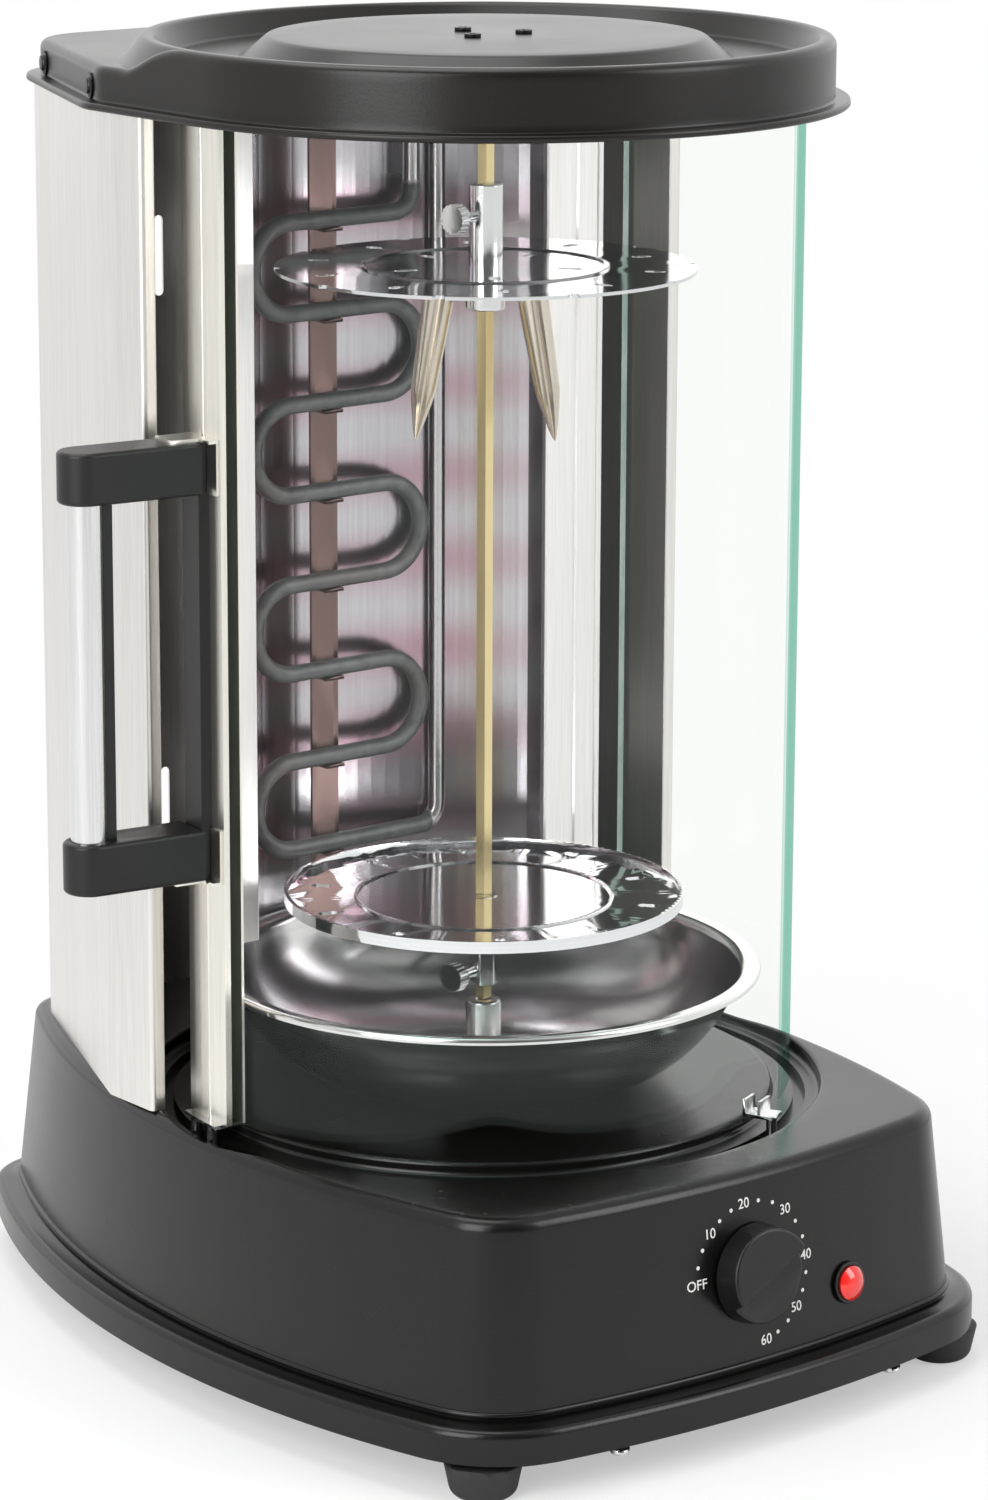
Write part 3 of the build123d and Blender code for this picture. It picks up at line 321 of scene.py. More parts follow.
def paneEdge():
    # ground edge of the pane: half clear, pale green
    r = Recipe("paneEdge")
    cloud = r.noise(60.0, detail=4.0)
    colour = r.mixed(cloud.ramp(0.3, 0.7), tone(0.60, 0.80, 0.73), tone(0.80, 0.91, 0.87))
    return r.surface(
        Base_Color=colour,
        Roughness=0.12 + cloud * 0.12,
        Alpha=0.55 + (cloud - 0.5) * 0.3,
        Coat_Weight=0.5,
        Coat_Roughness=0.05,
    )


def printWhite():
    # screen print: off-white ink with a slightly uneven cover
    r = Recipe("printWhite")
    ink = r.noise(900.0, detail=3.0)
    colour = r.mixed(ink.ramp(0.35, 0.8), tone(0.80, 0.80, 0.78), tone(0.62, 0.62, 0.61))
    return r.surface(Base_Color=colour, Roughness=0.5 + ink * 0.1, Normal=r.bump(ink, 0.1, 0.0002))


def lensRed():
    r = Recipe("lampLens")
    facing = r.add("ShaderNodeLayerWeight", None, {"Blend": 0.4}, out="Facing")
    cells = r.noise(700.0, detail=2.0)
    return r.surface(
        Base_Color=r.mixed(facing.ramp(0.0, 0.9), tone(0.75, 0.015, 0.01), tone(0.28, 0.0, 0.0)),
        Roughness=0.08 + cells * 0.06,
        Emission_Color=tone(0.8, 0.02, 0.01),
        Emission_Strength=0.25,
        Coat_Weight=0.8,
        Coat_Roughness=0.05,
    )


def dullPlastic(name, colour, rough=0.5, grain=1200.0, strength=0.12):
    r = Recipe(name)
    texture = r.noise(grain, detail=3.0)
    clouds = r.noise(25.0, detail=3.0)
    return r.surface(
        Base_Color=r.mixed(clouds.ramp(0.3, 0.8) * 0.6, colour, shade(colour, 1.25, 0.004)),
        Roughness=rough + (texture - 0.5) * 0.12,
        Specular_IOR_Level=0.4,
        Normal=r.bump(texture, strength, 0.0004),
    )


# the heating tube's bars, in metres: from one to the next, the first one's height, and all of them; the
# purple painted reflection of the tube's glow is laid in bands at these heights
glowBands = {"pitch": 0.232 / 7, "firstBar": 0.3948, "heights": (0.14, 0.42), "strength": 0.85}
finishes = {
    "baseBlack": satinPaint("baseBlack", tone(0.0040, 0.0038, 0.0036), 0.25),
    "capBlack": satinPaint("capBlack", tone(0.0070, 0.0058, 0.0052), 0.30, grain=1100.0),
    "platePaint": satinPaint("platePaint", tone(0.02, 0.02, 0.02), 0.5),
    "armBlack": dullPlastic("armBlack", tone(0.006, 0.006, 0.0065), 0.40),
    "knobBlack": dullPlastic("knobBlack", tone(0.006, 0.006, 0.0065), 0.34, grain=1500.0),
    "footRubber": dullPlastic("footRubber", tone(0.02, 0.02, 0.02), 0.62),
    "caseCream": dullPlastic("caseCream", tone(0.62, 0.58, 0.48), 0.55),
    "ceramic": dullPlastic("ceramic", tone(0.78, 0.74, 0.64), 0.35, grain=600.0),
    "wireSleeve": dullPlastic("wireSleeve", tone(0.55, 0.52, 0.46), 0.6),
    "housingSteel": brushedMetal("housingSteel", tone(0.80, 0.78, 0.75), 0.34),
    "stripSteel": brushedMetal("stripSteel", tone(0.86, 0.84, 0.83), 0.36),
    "stileSteel": brushedMetal("stileSteel", tone(0.88, 0.85, 0.78), 0.30),
    "gripSteel": brushedMetal("gripSteel", tone(0.80, 0.80, 0.80), 0.22),
    "sheetSteel": brushedMetal("sheetSteel", tone(0.62, 0.62, 0.62), 0.30, grain=(1, 0.02, 1)),
    # the purple second colour is the painted reflection of the heating tube's glow
    "linerBright": glowReflectingSheet("linerBright", tone(0.56, 0.54, 0.57), tone(0.42, 0.20, 0.27), 0.20, glowBands),
    "supportBrown": brushedMetal("supportBrown", tone(0.20, 0.13, 0.12), 0.34),
    "forkSteel": brushedMetal("forkSteel", tone(0.66, 0.60, 0.52), 0.22, fineness=900.0),
    "discBright": spunMetal("discBright", tone(0.80, 0.80, 0.82), 0.10),
    "panBright": spunMetal("panBright", tone(0.76, 0.75, 0.75), 0.15, 420.0, contrast=0.03, bump=0.01),
    "hubBright": polishedMetal("hubBright", tone(0.80, 0.80, 0.81), 0.09),
    "screwSteel": polishedMetal("screwSteel", tone(0.72, 0.72, 0.72), 0.22),
    "spitGold": polishedMetal("spitGold", tone(0.80, 0.66, 0.36), 0.20),
    "elementSheath": sheathMetal(),
    "paneOuter": paneGlass("paneOuter", 1.0),
    "paneInner": paneGlass("paneInner", 0.0),
    "paneEdge": paneEdge(),
    "printWhite": printWhite(),
    "lampLens": lensRed(),
}
print("finishes made", len(finishes))


# surfaces worked out with arrays
def gridMesh(name, grids, closeAlong):
    # grid[i, j] is the surface at step i along and step j round it; neighbours make quads
    corners, faces, count = [], [], 0
    for points in grids:
        rows, columns = points.shape[:2]
        i, j = np.meshgrid(np.arange(rows if closeAlong else rows - 1), np.arange(columns), indexing="ij")
        here, there = i * columns, (i + 1) % rows * columns
        beside = (j + 1) % columns
        quads = np.stack([here + j, there + j, there + beside, here + beside], -1)
        corners.append(points.reshape(-1, 3))
        faces.append(quads.reshape(-1, 4) + count)
        count += rows * columns
    mesh = bpy.data.meshes.new(name)
    mesh.from_pydata(np.concatenate(corners).tolist(), [], np.concatenate(faces).tolist())
    return mesh


mergeGap = 1e-6  # metres; points closer than this are one


def finishMesh(name, mesh, finish, angle):
    # merges doubles, turns faces outwards and shades smooth between edges sharper than the angle
    work = bmesh.new()
    work.from_mesh(mesh)
    bmesh.ops.remove_doubles(work, verts=work.verts, dist=mergeGap)
    bmesh.ops.dissolve_degenerate(work, dist=mergeGap, edges=work.edges)
    bmesh.ops.recalc_face_normals(work, faces=work.faces)
    work.to_mesh(mesh)
    work.free()
    mesh.shade_smooth()
    mesh.set_sharp_from_angle(angle=math.radians(angle))
    mesh.materials.clear()
    mesh.materials.append(finishes[finish])
    piece = bpy.data.objects.new(name, mesh)
    scene.collection.objects.link(piece)
    return piece


def turned(profile, steps):
    # revolves a profile of (radius, height) about the spit's axis, in millimetres from it
    profile = np.asarray(profile, float)
    angle = np.linspace(0, 2 * np.pi, steps, endpoint=False)[:, None]
    radius, height = profile[None, :, 0], profile[None, :, 1]
    return np.stack([radius * np.cos(angle), radius * np.sin(angle), height + 0 * angle], -1)


def roundedOutline(arcs):
    # a plan walked round anticlockwise: arcs of (centre, radius, from, to, steps, steps of the
    # straight run that follows); gives its points and the outward normals at them
    points, normals = [], []
    for index, (centre, radius, start, stop, steps, run) in enumerate(arcs):
        angle = np.radians(np.linspace(start, stop, steps, endpoint=run > 0))
        out = np.stack([np.cos(angle), np.sin(angle)], -1)
        points.append(np.asarray(centre, float) + radius * out)
        normals.append(out)
        if run:
            nextCentre, nextRadius, nextStart = arcs[(index + 1) % len(arcs)][:3]
            way = np.array([math.cos(math.radians(nextStart)), math.sin(math.radians(nextStart))])
            first = np.asarray(nextCentre, float) + nextRadius * way
            share = np.linspace(0, 1, run + 2)[1:-1, None]
            points.append(points[-1][-1] * (1 - share) + first * share)
            normals.append(np.repeat(out[-1:], run, axis=0))
    return np.concatenate(points), np.concatenate(normals)


def meetingPoint(first, firstRadius, second, secondRadius):
    # where two circles meet, to the left of the way from the first centre to the second
    gap = np.asarray(second, float) - np.asarray(first, float)
    far = np.linalg.norm(gap)
    along = (far**2 + firstRadius**2 - secondRadius**2) / (2 * far)
    across = math.sqrt(firstRadius**2 - along**2)
    return np.asarray(first) + gap / far * along + across * np.array([-gap[1], gap[0]]) / far


def bearing(start, end):
    return math.degrees(math.atan2(end[1] - start[1], end[0] - start[0]))


def arcPoints(centre, radius, start, stop, steps):
    # points of an arc in a profile, as (across, height), with angles in degrees
    angle = np.radians(np.linspace(start, stop, steps))
    return [(centre[0] + radius * math.cos(a), centre[1] + radius * math.sin(a)) for a in angle]


def placed(points):
    # a grid in millimetres from the spit's axis, turned into the shared frame
    return points * mm + np.array([axisX, axisY, 0.0])


def smoothStep(value):
    value = np.clip(value, 0, 1)
    return value * value * (3 - 2 * value)


# pieces that keep the shape of their node: merged, smoothly shaded copies
dressed = {
    "base_plate": "platePaint",
    "feet": "footRubber",
    "base_screws": "screwSteel",
    "spindle_bush": "screwSteel",
    "timer_body": "caseCream",
    "timer_nut": "screwSteel",
    "lamp_holder": "armBlack",
    "power_lamp_lens": "lampLens",
    "cord_gland": "armBlack",
    "terminal_block": "caseCream",
    "spit_rod": "spitGold",
    "upper_disc": "discBright",
    "upper_hub": "hubBright",
    "upper_thumbscrew": "hubBright",
    "lower_disc": "discBright",
    "lower_hub": "hubBright",
    "lower_thumbscrew": "hubBright",
    "drive_coupling": "screwSteel",
    "drive_motor": "sheetSteel",
    "cap_base": "sheetSteel",
    "motor_screws": "armBlack",
    "rear_housing": "housingSteel",
    "liner": "linerBright",
    "element_insulators": "ceramic",
    "element_support": "supportBrown",
    "thermal_cutout": "armBlack",
    "wire_duct": "sheetSteel",
    "wire_loom": "wireSleeve",
    "door_stile": "stileSteel",
    "lower_guides": "screwSteel",
    "upper_guides": "armBlack",
    "handle_backing": "armBlack",
    "handle_bracket_top": "armBlack",
    "handle_bracket_bottom": "armBlack",
    "handle_grip": "gripSteel",
    "grip_spine": "armBlack",
    "handle_clips": "stileSteel",
    "handle_screws": "screwSteel",
    "cap_screws": "armBlack",
}
bodyOf = {node: body for body, members in frame["record"]["behaviour"]["bodies"].items() for node in members}


def declare(piece, body, node):
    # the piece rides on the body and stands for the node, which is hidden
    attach(piece, body)
    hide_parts(node)


for node, finish in dressed.items():
    piece = finishMesh(node + "Skin", nodes[node].data.copy(), finish, 28.0)
    weighted = piece.modifiers.new("weighted", "WEIGHTED_NORMAL")
    weighted.keep_sharp = True
    declare(piece, bodyOf[node], node)
print("pieces dressed")


def handPiece(name, grids, finish, node, closeAlong=False, angle=35.0):
    # a piece worked out here, of one or more grids in millimetres from the spit's axis
    mesh = gridMesh(name, [placed(grid) for grid in grids], closeAlong)
    declare(finishMesh(name, mesh, finish, angle), bodyOf[node], node)


# moulded base
base = {
    "front": 160.0,
    "rear": 196.0,
    "half": 140.0,
    "widest": -7.1,
    "frontBow": 510.7,
    "sideBow": 396.3,
    "frontCorner": 45.0,
    "rearCorner": 30.0,
    "underside": 14.0,
    "ledgeTop": 26.0,
    "ledgeWidth": 9.0,
    "ledgeRound": 3.0,
    "bead": {"radius": 1.1, "in": 0.4, "up": 2.2},  # small bead at the foot of the wall
    "draft": 7.6,
    "top": 94.0,
    "edgeRound": 5.0,
    "wall": 3.0,
    "deck": 12.0,
    "trackOuter": 121.5,
    "trackInner": 103.8,
    "trackDepth": 5.0,
    "lip": 1.5,
    "slot": (111.8, 116.2, 3.0),
    "bushHole": 6.5,
}
baseLean = math.atan2(base["draft"], base["top"] - base["ledgeTop"])


def baseInset(height):
    # how far the leaning wall stands in from the foot's outline
    return base["ledgeWidth"] + (height - base["ledgeTop"]) * math.tan(baseLean)


def basePlan(b):
    # the outline is made of a bowed front, two bowed sides and a straight rear, with rounded corners
    frontCentre = np.array([0.0, b["frontBow"] - b["front"]])
    rightCentre = np.array([b["half"] - b["sideBow"], b["widest"]])
    soft = b["frontCorner"]
    corner = meetingPoint(frontCentre, b["frontBow"] - soft, rightCentre, b["sideBow"] - soft)
    rearY = b["rear"] - b["rearCorner"]
    reach = b["sideBow"] - b["rearCorner"]
    rear = np.array([rightCentre[0] + math.sqrt(reach**2 - (rearY - rightCentre[1]) ** 2), rearY])
    flip = np.array([-1.0, 1.0])
    frontEnd, sideStart = bearing(frontCentre, corner), bearing(rightCentre, corner)
    sideEnd = bearing(rightCentre, rear)
    return roundedOutline([
        (frontCentre, b["frontBow"], -180 - frontEnd, frontEnd, 70, 0),
        (corner, b["frontCorner"], frontEnd, sideStart, 44, 0),
        (rightCentre, b["sideBow"], sideStart, sideEnd, 110, 0),
        (rear, b["rearCorner"], sideEnd, 90, 34, 34),
        (rear * flip, b["rearCorner"], 90, 180 - sideEnd, 34, 0),
        (rightCentre * flip, b["sideBow"], 180 - sideEnd, 180 - sideStart, 110, 0),
        (corner * flip, b["frontCorner"], 180 - sideStart, 180 - frontEnd, 44, 0),
    ])


def baseGrid(b):
    # the profile goes up the outside (ledge, leaning wall, rounded edge), in over the deck to the
    # door track, through the track and over the platform to the bush, and back underneath
    outline, normals = basePlan(b)
    count = len(outline)

    def ring(grow, height):
        grow, height = np.broadcast_to(grow, count), np.broadcast_to(height, count)
        return np.concatenate([outline + grow[:, None] * normals, height[:, None]], -1)

    rows = [ring(0, b["underside"]), ring(0, b["underside"] + 4)]
    soft = b["ledgeRound"]
    rows += [ring(g, z) for g, z in arcPoints((-soft, b["ledgeTop"] - soft), soft, 0, 90, 9)]
    # a groove and a small bead where the wall stands on the ledge
    bead = b["bead"]["radius"]
    beadG, beadZ = -baseInset(b["ledgeTop"]) - b["bead"]["in"], b["ledgeTop"] + b["bead"]["up"]
    rows += [ring(beadG + 0.5, b["ledgeTop"]), ring(beadG, b["ledgeTop"] + 0.4)]
    rows += [ring(g, z) for g, z in arcPoints((beadG, beadZ), bead, -90, 90, 9)]
    rows += [ring(-baseInset(z), z) for z in np.linspace(beadZ + bead + 0.7, b["top"] - 8, 12)]
    # rounded edge: cut short where the door track comes through it
    edge, middle = b["edgeRound"], b["top"] - b["edgeRound"]
    inner = -baseInset(middle) - edge / math.cos(baseLean)
    lipRadius = b["trackOuter"] + b["lip"]
    angles = np.linspace(baseLean, math.pi / 2, 80)
    sweep = outline[None] + (inner + edge * np.cos(angles))[:, None, None] * normals[None]
    beyond = np.linalg.norm(sweep, axis=-1) > lipRadius
    last = angles[np.where(beyond.all(0), len(angles) - 1, np.argmin(beyond, axis=0))]
    for share in np.linspace(0, 1, 15):
        angle = baseLean + (last - baseLean) * share
        rows.append(ring(inner + edge * np.cos(angle), middle + edge * np.sin(angle)))
    end = rows[-1]
    bearingAll = np.arctan2(end[:, 1], end[:, 0])
    circle = np.stack([np.cos(bearingAll), np.sin(bearingAll)], -1)
    height = end[:, 2]
    for share in np.linspace(0, 1, 8)[1:]:
        flat = end[:, :2] * (1 - share) + circle * lipRadius * share
        rows.append(np.concatenate([flat, height[:, None]], -1))

    def turn(radius, level):
        level = np.broadcast_to(level, count)
        return np.concatenate([circle * radius, level[:, None]], -1)

    top, floor = b["top"], b["top"] - b["trackDepth"]
    for radius, z in arcPoints((lipRadius, top - b["lip"]), b["lip"], 90, 180, 7)[1:]:
        rows.append(turn(radius, height + z - top))
    for radius, z in arcPoints((b["trackOuter"] - 2, floor + 2), 2, 0, -90, 6):
        rows.append(turn(radius, np.minimum(z, height - b["lip"])))
    low, high, deep = b["slot"]
    for radius, z in ((high, floor), (high, floor - deep), (low, floor - deep), (low, floor)):
        rows.append(turn(radius, z))
    inside, lip = b["trackInner"], b["lip"]
    rows += [turn(r, z) for r, z in arcPoints((inside + 2, floor + 2), 2, -90, -180, 6)]
    rows += [turn(r, z) for r, z in arcPoints((inside - lip, top - lip), lip, 0, 90, 7)]
    rows += [turn(r, top) for r in np.linspace(inside - 3, b["bushHole"], 12)]
    # underneath: the platform's sheet, the deck and the wall
    roof, deck = top - b["wall"], top - b["deck"]
    rows += [turn(b["bushHole"], roof), turn(inside - 3, roof), turn(inside - 3, deck)]
    rows += [ring(-baseInset(z) - b["wall"], z) for z in (deck, b["underside"])]
    return np.stack(rows)


handPiece("baseShell", [baseGrid(base)], "baseBlack", "base_housing", closeAlong=True, angle=50)
print("base made")

# cap with its round ridge, ring channel and raised middle
cap = {
    "radius": 120.3,
    "bend": (120.3, 61.5),
    "rear": (78.0, 165.0),
    "bendRound": 18.0,
    "rearRound": 30.0,
    "bottom": 444.5,
    "brim": 5.2,
    "brimThick": 2.5,
    "deck": 459.0,
    "top": 468.0,
    "edgeRound": 3.0,
    "blend": 9.0,  # width of the soft slope from the rear deck up to the ridge
    # (radius, height) down into the ring channel, and up to the flat middle
    "channel": [(116.2, 468), (115.2, 467.8), (114.2, 466.9), (111, 460.6), (110, 459.7), (108.6, 459.5)],
    "plateau": [(86.6, 459.5), (85.2, 459.7), (84.2, 460.3), (76.6, 466.6), (75.6, 467.3), (74.2, 467.6)],
    "wall": 2.0,
}


def capPlan(c):
    (bendX, bendY), (rearX, rearY) = c["bend"], c["rear"]
    slant = np.array([rearX - bendX, rearY - bendY])
    slant /= np.linalg.norm(slant)
    out = np.array([slant[1], -slant[0]])
    angle = math.degrees(math.atan2(out[1], out[0]))
    # a rounding's centre lies its radius inside both of the lines that it joins
    first = np.array([bendX - c["bendRound"], 0.0])
    first[1] = bendY + (-c["bendRound"] - (first[0] - bendX) * out[0]) / out[1]
    second = np.array([0.0, rearY - c["rearRound"]])
    second[0] = bendX + (-c["rearRound"] - (second[1] - bendY) * out[1]) / out[0]
    flip = np.array([-1.0, 1.0])
    return roundedOutline([
        ((0, 0), c["radius"], 180, 360, 260, 20),
        (first, c["bendRound"], 0, angle, 12, 34),
        (second, c["rearRound"], angle, 90, 30, 34),
        (second * flip, c["rearRound"], 90, 180 - angle, 30, 34),
        (first * flip, c["bendRound"], 180 - angle, 180, 12, 20),
    ])


def capGrid(c):
    # outside: brim, wall and rounded edge along the outline, then rings round the spit's axis
    outline, normals = capPlan(c)
    count = len(outline)

    def ring(grow, level):
        level = np.broadcast_to(level, count)
        return np.concatenate([outline + grow * normals, level[:, None]], -1)

    def heightAt(radius):
        return c["top"] - (c["top"] - c["deck"]) * smoothStep((radius - c["radius"] + 2.6) / c["blend"])

    rim, bottom = c["bottom"] + c["brimThick"], c["bottom"]
    rows = [ring(c["brim"] - 0.5, bottom), ring(c["brim"], bottom + 0.5)]
    rows += [ring(g, z) for g, z in arcPoints((c["brim"] - 1, rim - 1), 1, 0, 90, 6)]
    rows += [ring(g, z) for g, z in arcPoints((0.9, rim + 0.9), 0.9, -90, -180, 6)]
    soft = c["edgeRound"]
    wallTop = heightAt(np.linalg.norm(outline - soft * normals, axis=-1))
    for share in np.linspace(0, 1, 9)[1:]:
        rows.append(ring(0, rim + 0.9 + (wallTop - soft - rim - 0.9) * share))
    rows += [ring(g, wallTop + z) for g, z in arcPoints((-soft, -soft), soft, 0, 90, 9)[1:]]
    end = rows[-1]
    far = np.linalg.norm(end[:, :2], axis=-1)
    circle = end[:, :2] / far[:, None]

    def turn(radius, level):
        level = np.broadcast_to(level, count)
        return np.concatenate([circle * np.broadcast_to(radius, count)[:, None], level[:, None]], -1)

    crest = c["radius"] - soft
    for share in np.linspace(0, 1, 41)[1:]:
        radius = far + (crest - far) * share**0.8
        rows.append(turn(radius, heightAt(radius)))
    rows += [turn(r, z) for r, z in c["channel"]]
    rows += [turn(r, c["channel"][-1][1]) for r in np.linspace(104, 91, 4)]
    rows += [turn(r, z) for r, z in c["plateau"]]
    rows += [turn(r, c["plateau"][-1][1]) for r in np.linspace(64, 0, 7)]
    roof = c["plateau"][-1][1] - c["wall"]
    rows += [turn(0, roof), turn(70, roof), turn(70, c["deck"] - c["wall"])]
    rows += [ring(-c["wall"], c["deck"] - c["wall"]), ring(-c["wall"], bottom)]
    return np.stack(rows)


handPiece("capShell", [capGrid(cap)], "capBlack", "cap_shell", closeAlong=True, angle=50)
print("cap made")


# drip pan: a bowl of sheet metal, turned
pan = {
    "collar": 7.3,
    "low": 94.5,
    "high": 136.5,
    "floor": 38.0,
    "side": 92.0,
    "rim": 99.0,
    "lip": (3.0, 3.0),  # out and up, from the side to the rim
    "roll": 1.2,
    "thick": 1.0,
    "collarHeight": 8.0,
    "collarRound": 2.0,
}


def tangentArc(start, heading, end, steps):
    # arc that leaves start at a heading in degrees and ends in end; gives its points and last heading
    chord = np.subtract(end, start)
    swing = 2 * (math.degrees(math.atan2(chord[1], chord[0])) - heading)
    radius = np.linalg.norm(chord) / (2 * math.sin(math.radians(swing / 2)))
    begin = math.radians(heading)
    centre = np.add(start, radius * np.array([-math.sin(begin), math.cos(begin)]))
    angle = np.radians(np.linspace(heading - 90, heading - 90 + swing, steps))
    return centre + radius * np.stack([np.cos(angle), np.sin(angle)], -1), heading + swing


def walled(line, thick):
    # closed outline of a sheet: its middle line pushed out half the thickness to both sides
    line = np.asarray(line, float)
    along = np.gradient(line, axis=0)
    along /= np.linalg.norm(along, axis=1)[:, None]
    out = np.stack([-along[:, 1], along[:, 0]], -1) * thick / 2
    return np.concatenate([line + out, (line - out)[::-1]])


def panLine(p):
    # middle line of the sheet: collar, flat floor, side in one arc, lip and rolled rim
    out, up = p["lip"]
    lipStart, lipEnd = (p["side"], p["high"] - up), (p["side"] + out, p["high"])
    sideArc, heading = tangentArc((p["floor"], p["low"]), 0, lipStart, 40)
    lip, _ = tangentArc(lipStart, heading, lipEnd, 8)
    soft, roll = p["collarRound"], p["roll"]
    collar = [(p["collar"], p["low"] + height) for height in (p["collarHeight"], 2 * soft)]
    collar += arcPoints((p["collar"] + soft, p["low"] + soft), soft, 180, 270, 7)
    floor = [(radius, p["low"]) for radius in (12.0, 26.0, 28.0, 30.5)]
    rim = [(p["side"] + out + flat, p["high"]) for flat in (1.2, 2.4)]
    rim += arcPoints((p["rim"] - roll, p["high"] - roll), roll, 90, 0, 7)
    return np.concatenate([collar, floor, sideArc, lip[1:], rim, [(p["rim"], p["high"] - 1.9)]])


panGrid = turned(walled(panLine(pan), pan["thick"]), 256)
handPiece("dripBowl", [panGrid], "panBright", "drip_pan", closeAlong=True, angle=40)

# heating tube: bars and half-round bends in one upright plane, both ends up into the cap
tube = {
    "plane": 86.0,
    "radius": 3.2,
    "top": 394.8,
    "bottom": 162.8,
    "bars": 8,
    "reach": 38.0,
    "risers": (34.0, 46.0),
    "bend": 8.0,
    "end": 452.5,
}


def tubeLine(t):
    # middle line in the plane, as (x, z): down, from side to side bar by bar, and up again
    pitch = (t["top"] - t["bottom"]) / (t["bars"] - 1)
    half, bend = pitch / 2, t["bend"]
    near, far = t["risers"]
    turnAt = t["reach"] - half  # where the half-round bends begin

    def level(start, end, height, steps):
        across = np.linspace(start, end, steps)[1:-1]
        return np.stack([across, np.full(len(across), height)], -1)

    parts = [np.stack([np.full(12, near), np.linspace(t["end"], t["top"] + bend, 12)], -1)]
    parts.append(arcPoints((near - bend, t["top"] + bend), bend, 0, -90, 12))
    side, begin = -1, near - bend
    for bar in range(t["bars"] - 1):
        height = t["top"] - bar * pitch
        parts.append(level(begin, side * turnAt, height, 24))
        parts.append(arcPoints((side * turnAt, height - half), half, 90, 270 if side < 0 else -90, 28))
        begin = side * turnAt
        side = -side
    parts.append(level(begin, far - bend, t["bottom"], 40))
    parts.append(arcPoints((far - bend, t["bottom"] + bend), bend, -90, 0, 12))
    parts.append(np.stack([np.full(60, far), np.linspace(t["bottom"] + bend, t["end"], 62)[2:]], -1))
    return np.concatenate(parts)


def tubeGrid(t, around=24):
    # a circle carried along the line, with a point at each end to close it
    line = tubeLine(t)
    along = np.gradient(line, axis=0)
    along /= np.linalg.norm(along, axis=1)[:, None]
    out = np.stack([-along[:, 1], along[:, 0]], -1)
    angle = np.linspace(0, 2 * np.pi, around, endpoint=False)
    flat = line[:, None, :] + t["radius"] * np.cos(angle)[None, :, None] * out[:, None, :]
    depth = t["plane"] + t["radius"] * np.sin(angle)[None, :] + np.zeros((len(line), 1))
    grid = np.stack([flat[..., 0], depth, flat[..., 1]], -1)
    ends = [np.repeat(grid[k].mean(0)[None], around, 0)[None] for k in (0, -1)]
    return np.concatenate([ends[0], grid, ends[1]])


handPiece("heatingTube", [tubeGrid(tube)], "elementSheath", "heating_element", angle=60)
print("pan and heating tube made")


# pane of the door: its broad faces are clear and its upright cut edges green
def dressPane():
    # how far each face looks away from the spit's axis tells outer, inner and cut faces apart
    mesh = nodes["door_glass"].data.copy()
    pane = finishMesh("doorPane", mesh, "paneOuter", 28.0)
    mesh.materials.append(finishes["paneInner"])
    mesh.materials.append(finishes["paneEdge"])
    middles, outs = np.empty(len(mesh.polygons) * 3), np.empty(len(mesh.polygons) * 3)
    mesh.polygons.foreach_get("center", middles)
    mesh.polygons.foreach_get("normal", outs)
    outs = outs.reshape(-1, 3)
    way = middles.reshape(-1, 3)[:, :2] - np.array([axisX, axisY])
    way /= np.linalg.norm(way, axis=1)[:, None]
    facing = (way * outs[:, :2]).sum(1)
    upright = np.abs(outs[:, 2]) < 0.5
    slots = np.where(facing > 0.5, 0, np.where((facing < -0.5) | ~upright, 1, 2))
    mesh.polygons.foreach_set("material_index", slots.astype(np.int32))
    declare(pane, "door", "door_glass")


dressPane()
print("pane made")

# fork under the upper disc: a plate and two ribbed prongs that end in points
fork = {
    "turn": -38.7,  # of the line between the prongs, from the line across the front
    "plateTop": 386.0,
    "plateRound": 8.5,
    "plateHalf": 12.0,
    "thick": 1.2,
    "reach": 15.0,
    "splay": 9.5,
    "length": 60.0,
    "width": (10.5, 8.0),
    "tip": 18.0,
    # half of the ribbed section, as shares of half the width and millimetres of depth
    "section": [(0.14, 0.5), (0.5, -0.9), (0.86, 0.2), (1.0, 1.5)],
}


def forkAxes(f):
    # level, along the line between the prongs and square to it
    turn = math.radians(f["turn"])
    return np.array([math.cos(turn), math.sin(turn), 0.0]), np.array([-math.sin(turn), math.cos(turn), 0.0])


def forkGrid(f, side):
    # the ribbed section is carried down the prong, and narrows to a point over the last stretch
    across, depth = forkAxes(f)
    root = across * side * f["reach"] + np.array([0, 0, f["plateTop"] - f["thick"] * 0.5])
    down = across * side * f["splay"] - np.array([0, 0, f["length"]])
    long = np.linalg.norm(down)
    down /= long
    wide = np.cross(depth, down)
    section = [(-share, deep) for share, deep in f["section"][::-1]] + f["section"]
    loop = walled(np.array(section) * [5.0, 1.0], f["thick"])
    taper = long - f["tip"]
    steps = np.concatenate([np.linspace(0, taper, 12), np.linspace(taper, long, 14)[1:]])
    width = np.interp(steps, [0, taper], f["width"]) / 10.0
    point = np.clip((long - steps) / f["tip"], 0, 1) ** 0.7
    sideways = loop[None, :, 0] * (width * point)[:, None]
    proud = loop[None, :, 1] * np.clip(point * 1.4, 0, 1)[:, None]
    grid = root + steps[:, None, None] * down + sideways[..., None] * wide + proud[..., None] * depth
    return np.concatenate([np.repeat(grid[:1].mean(1, keepdims=True), len(loop), 1), grid])


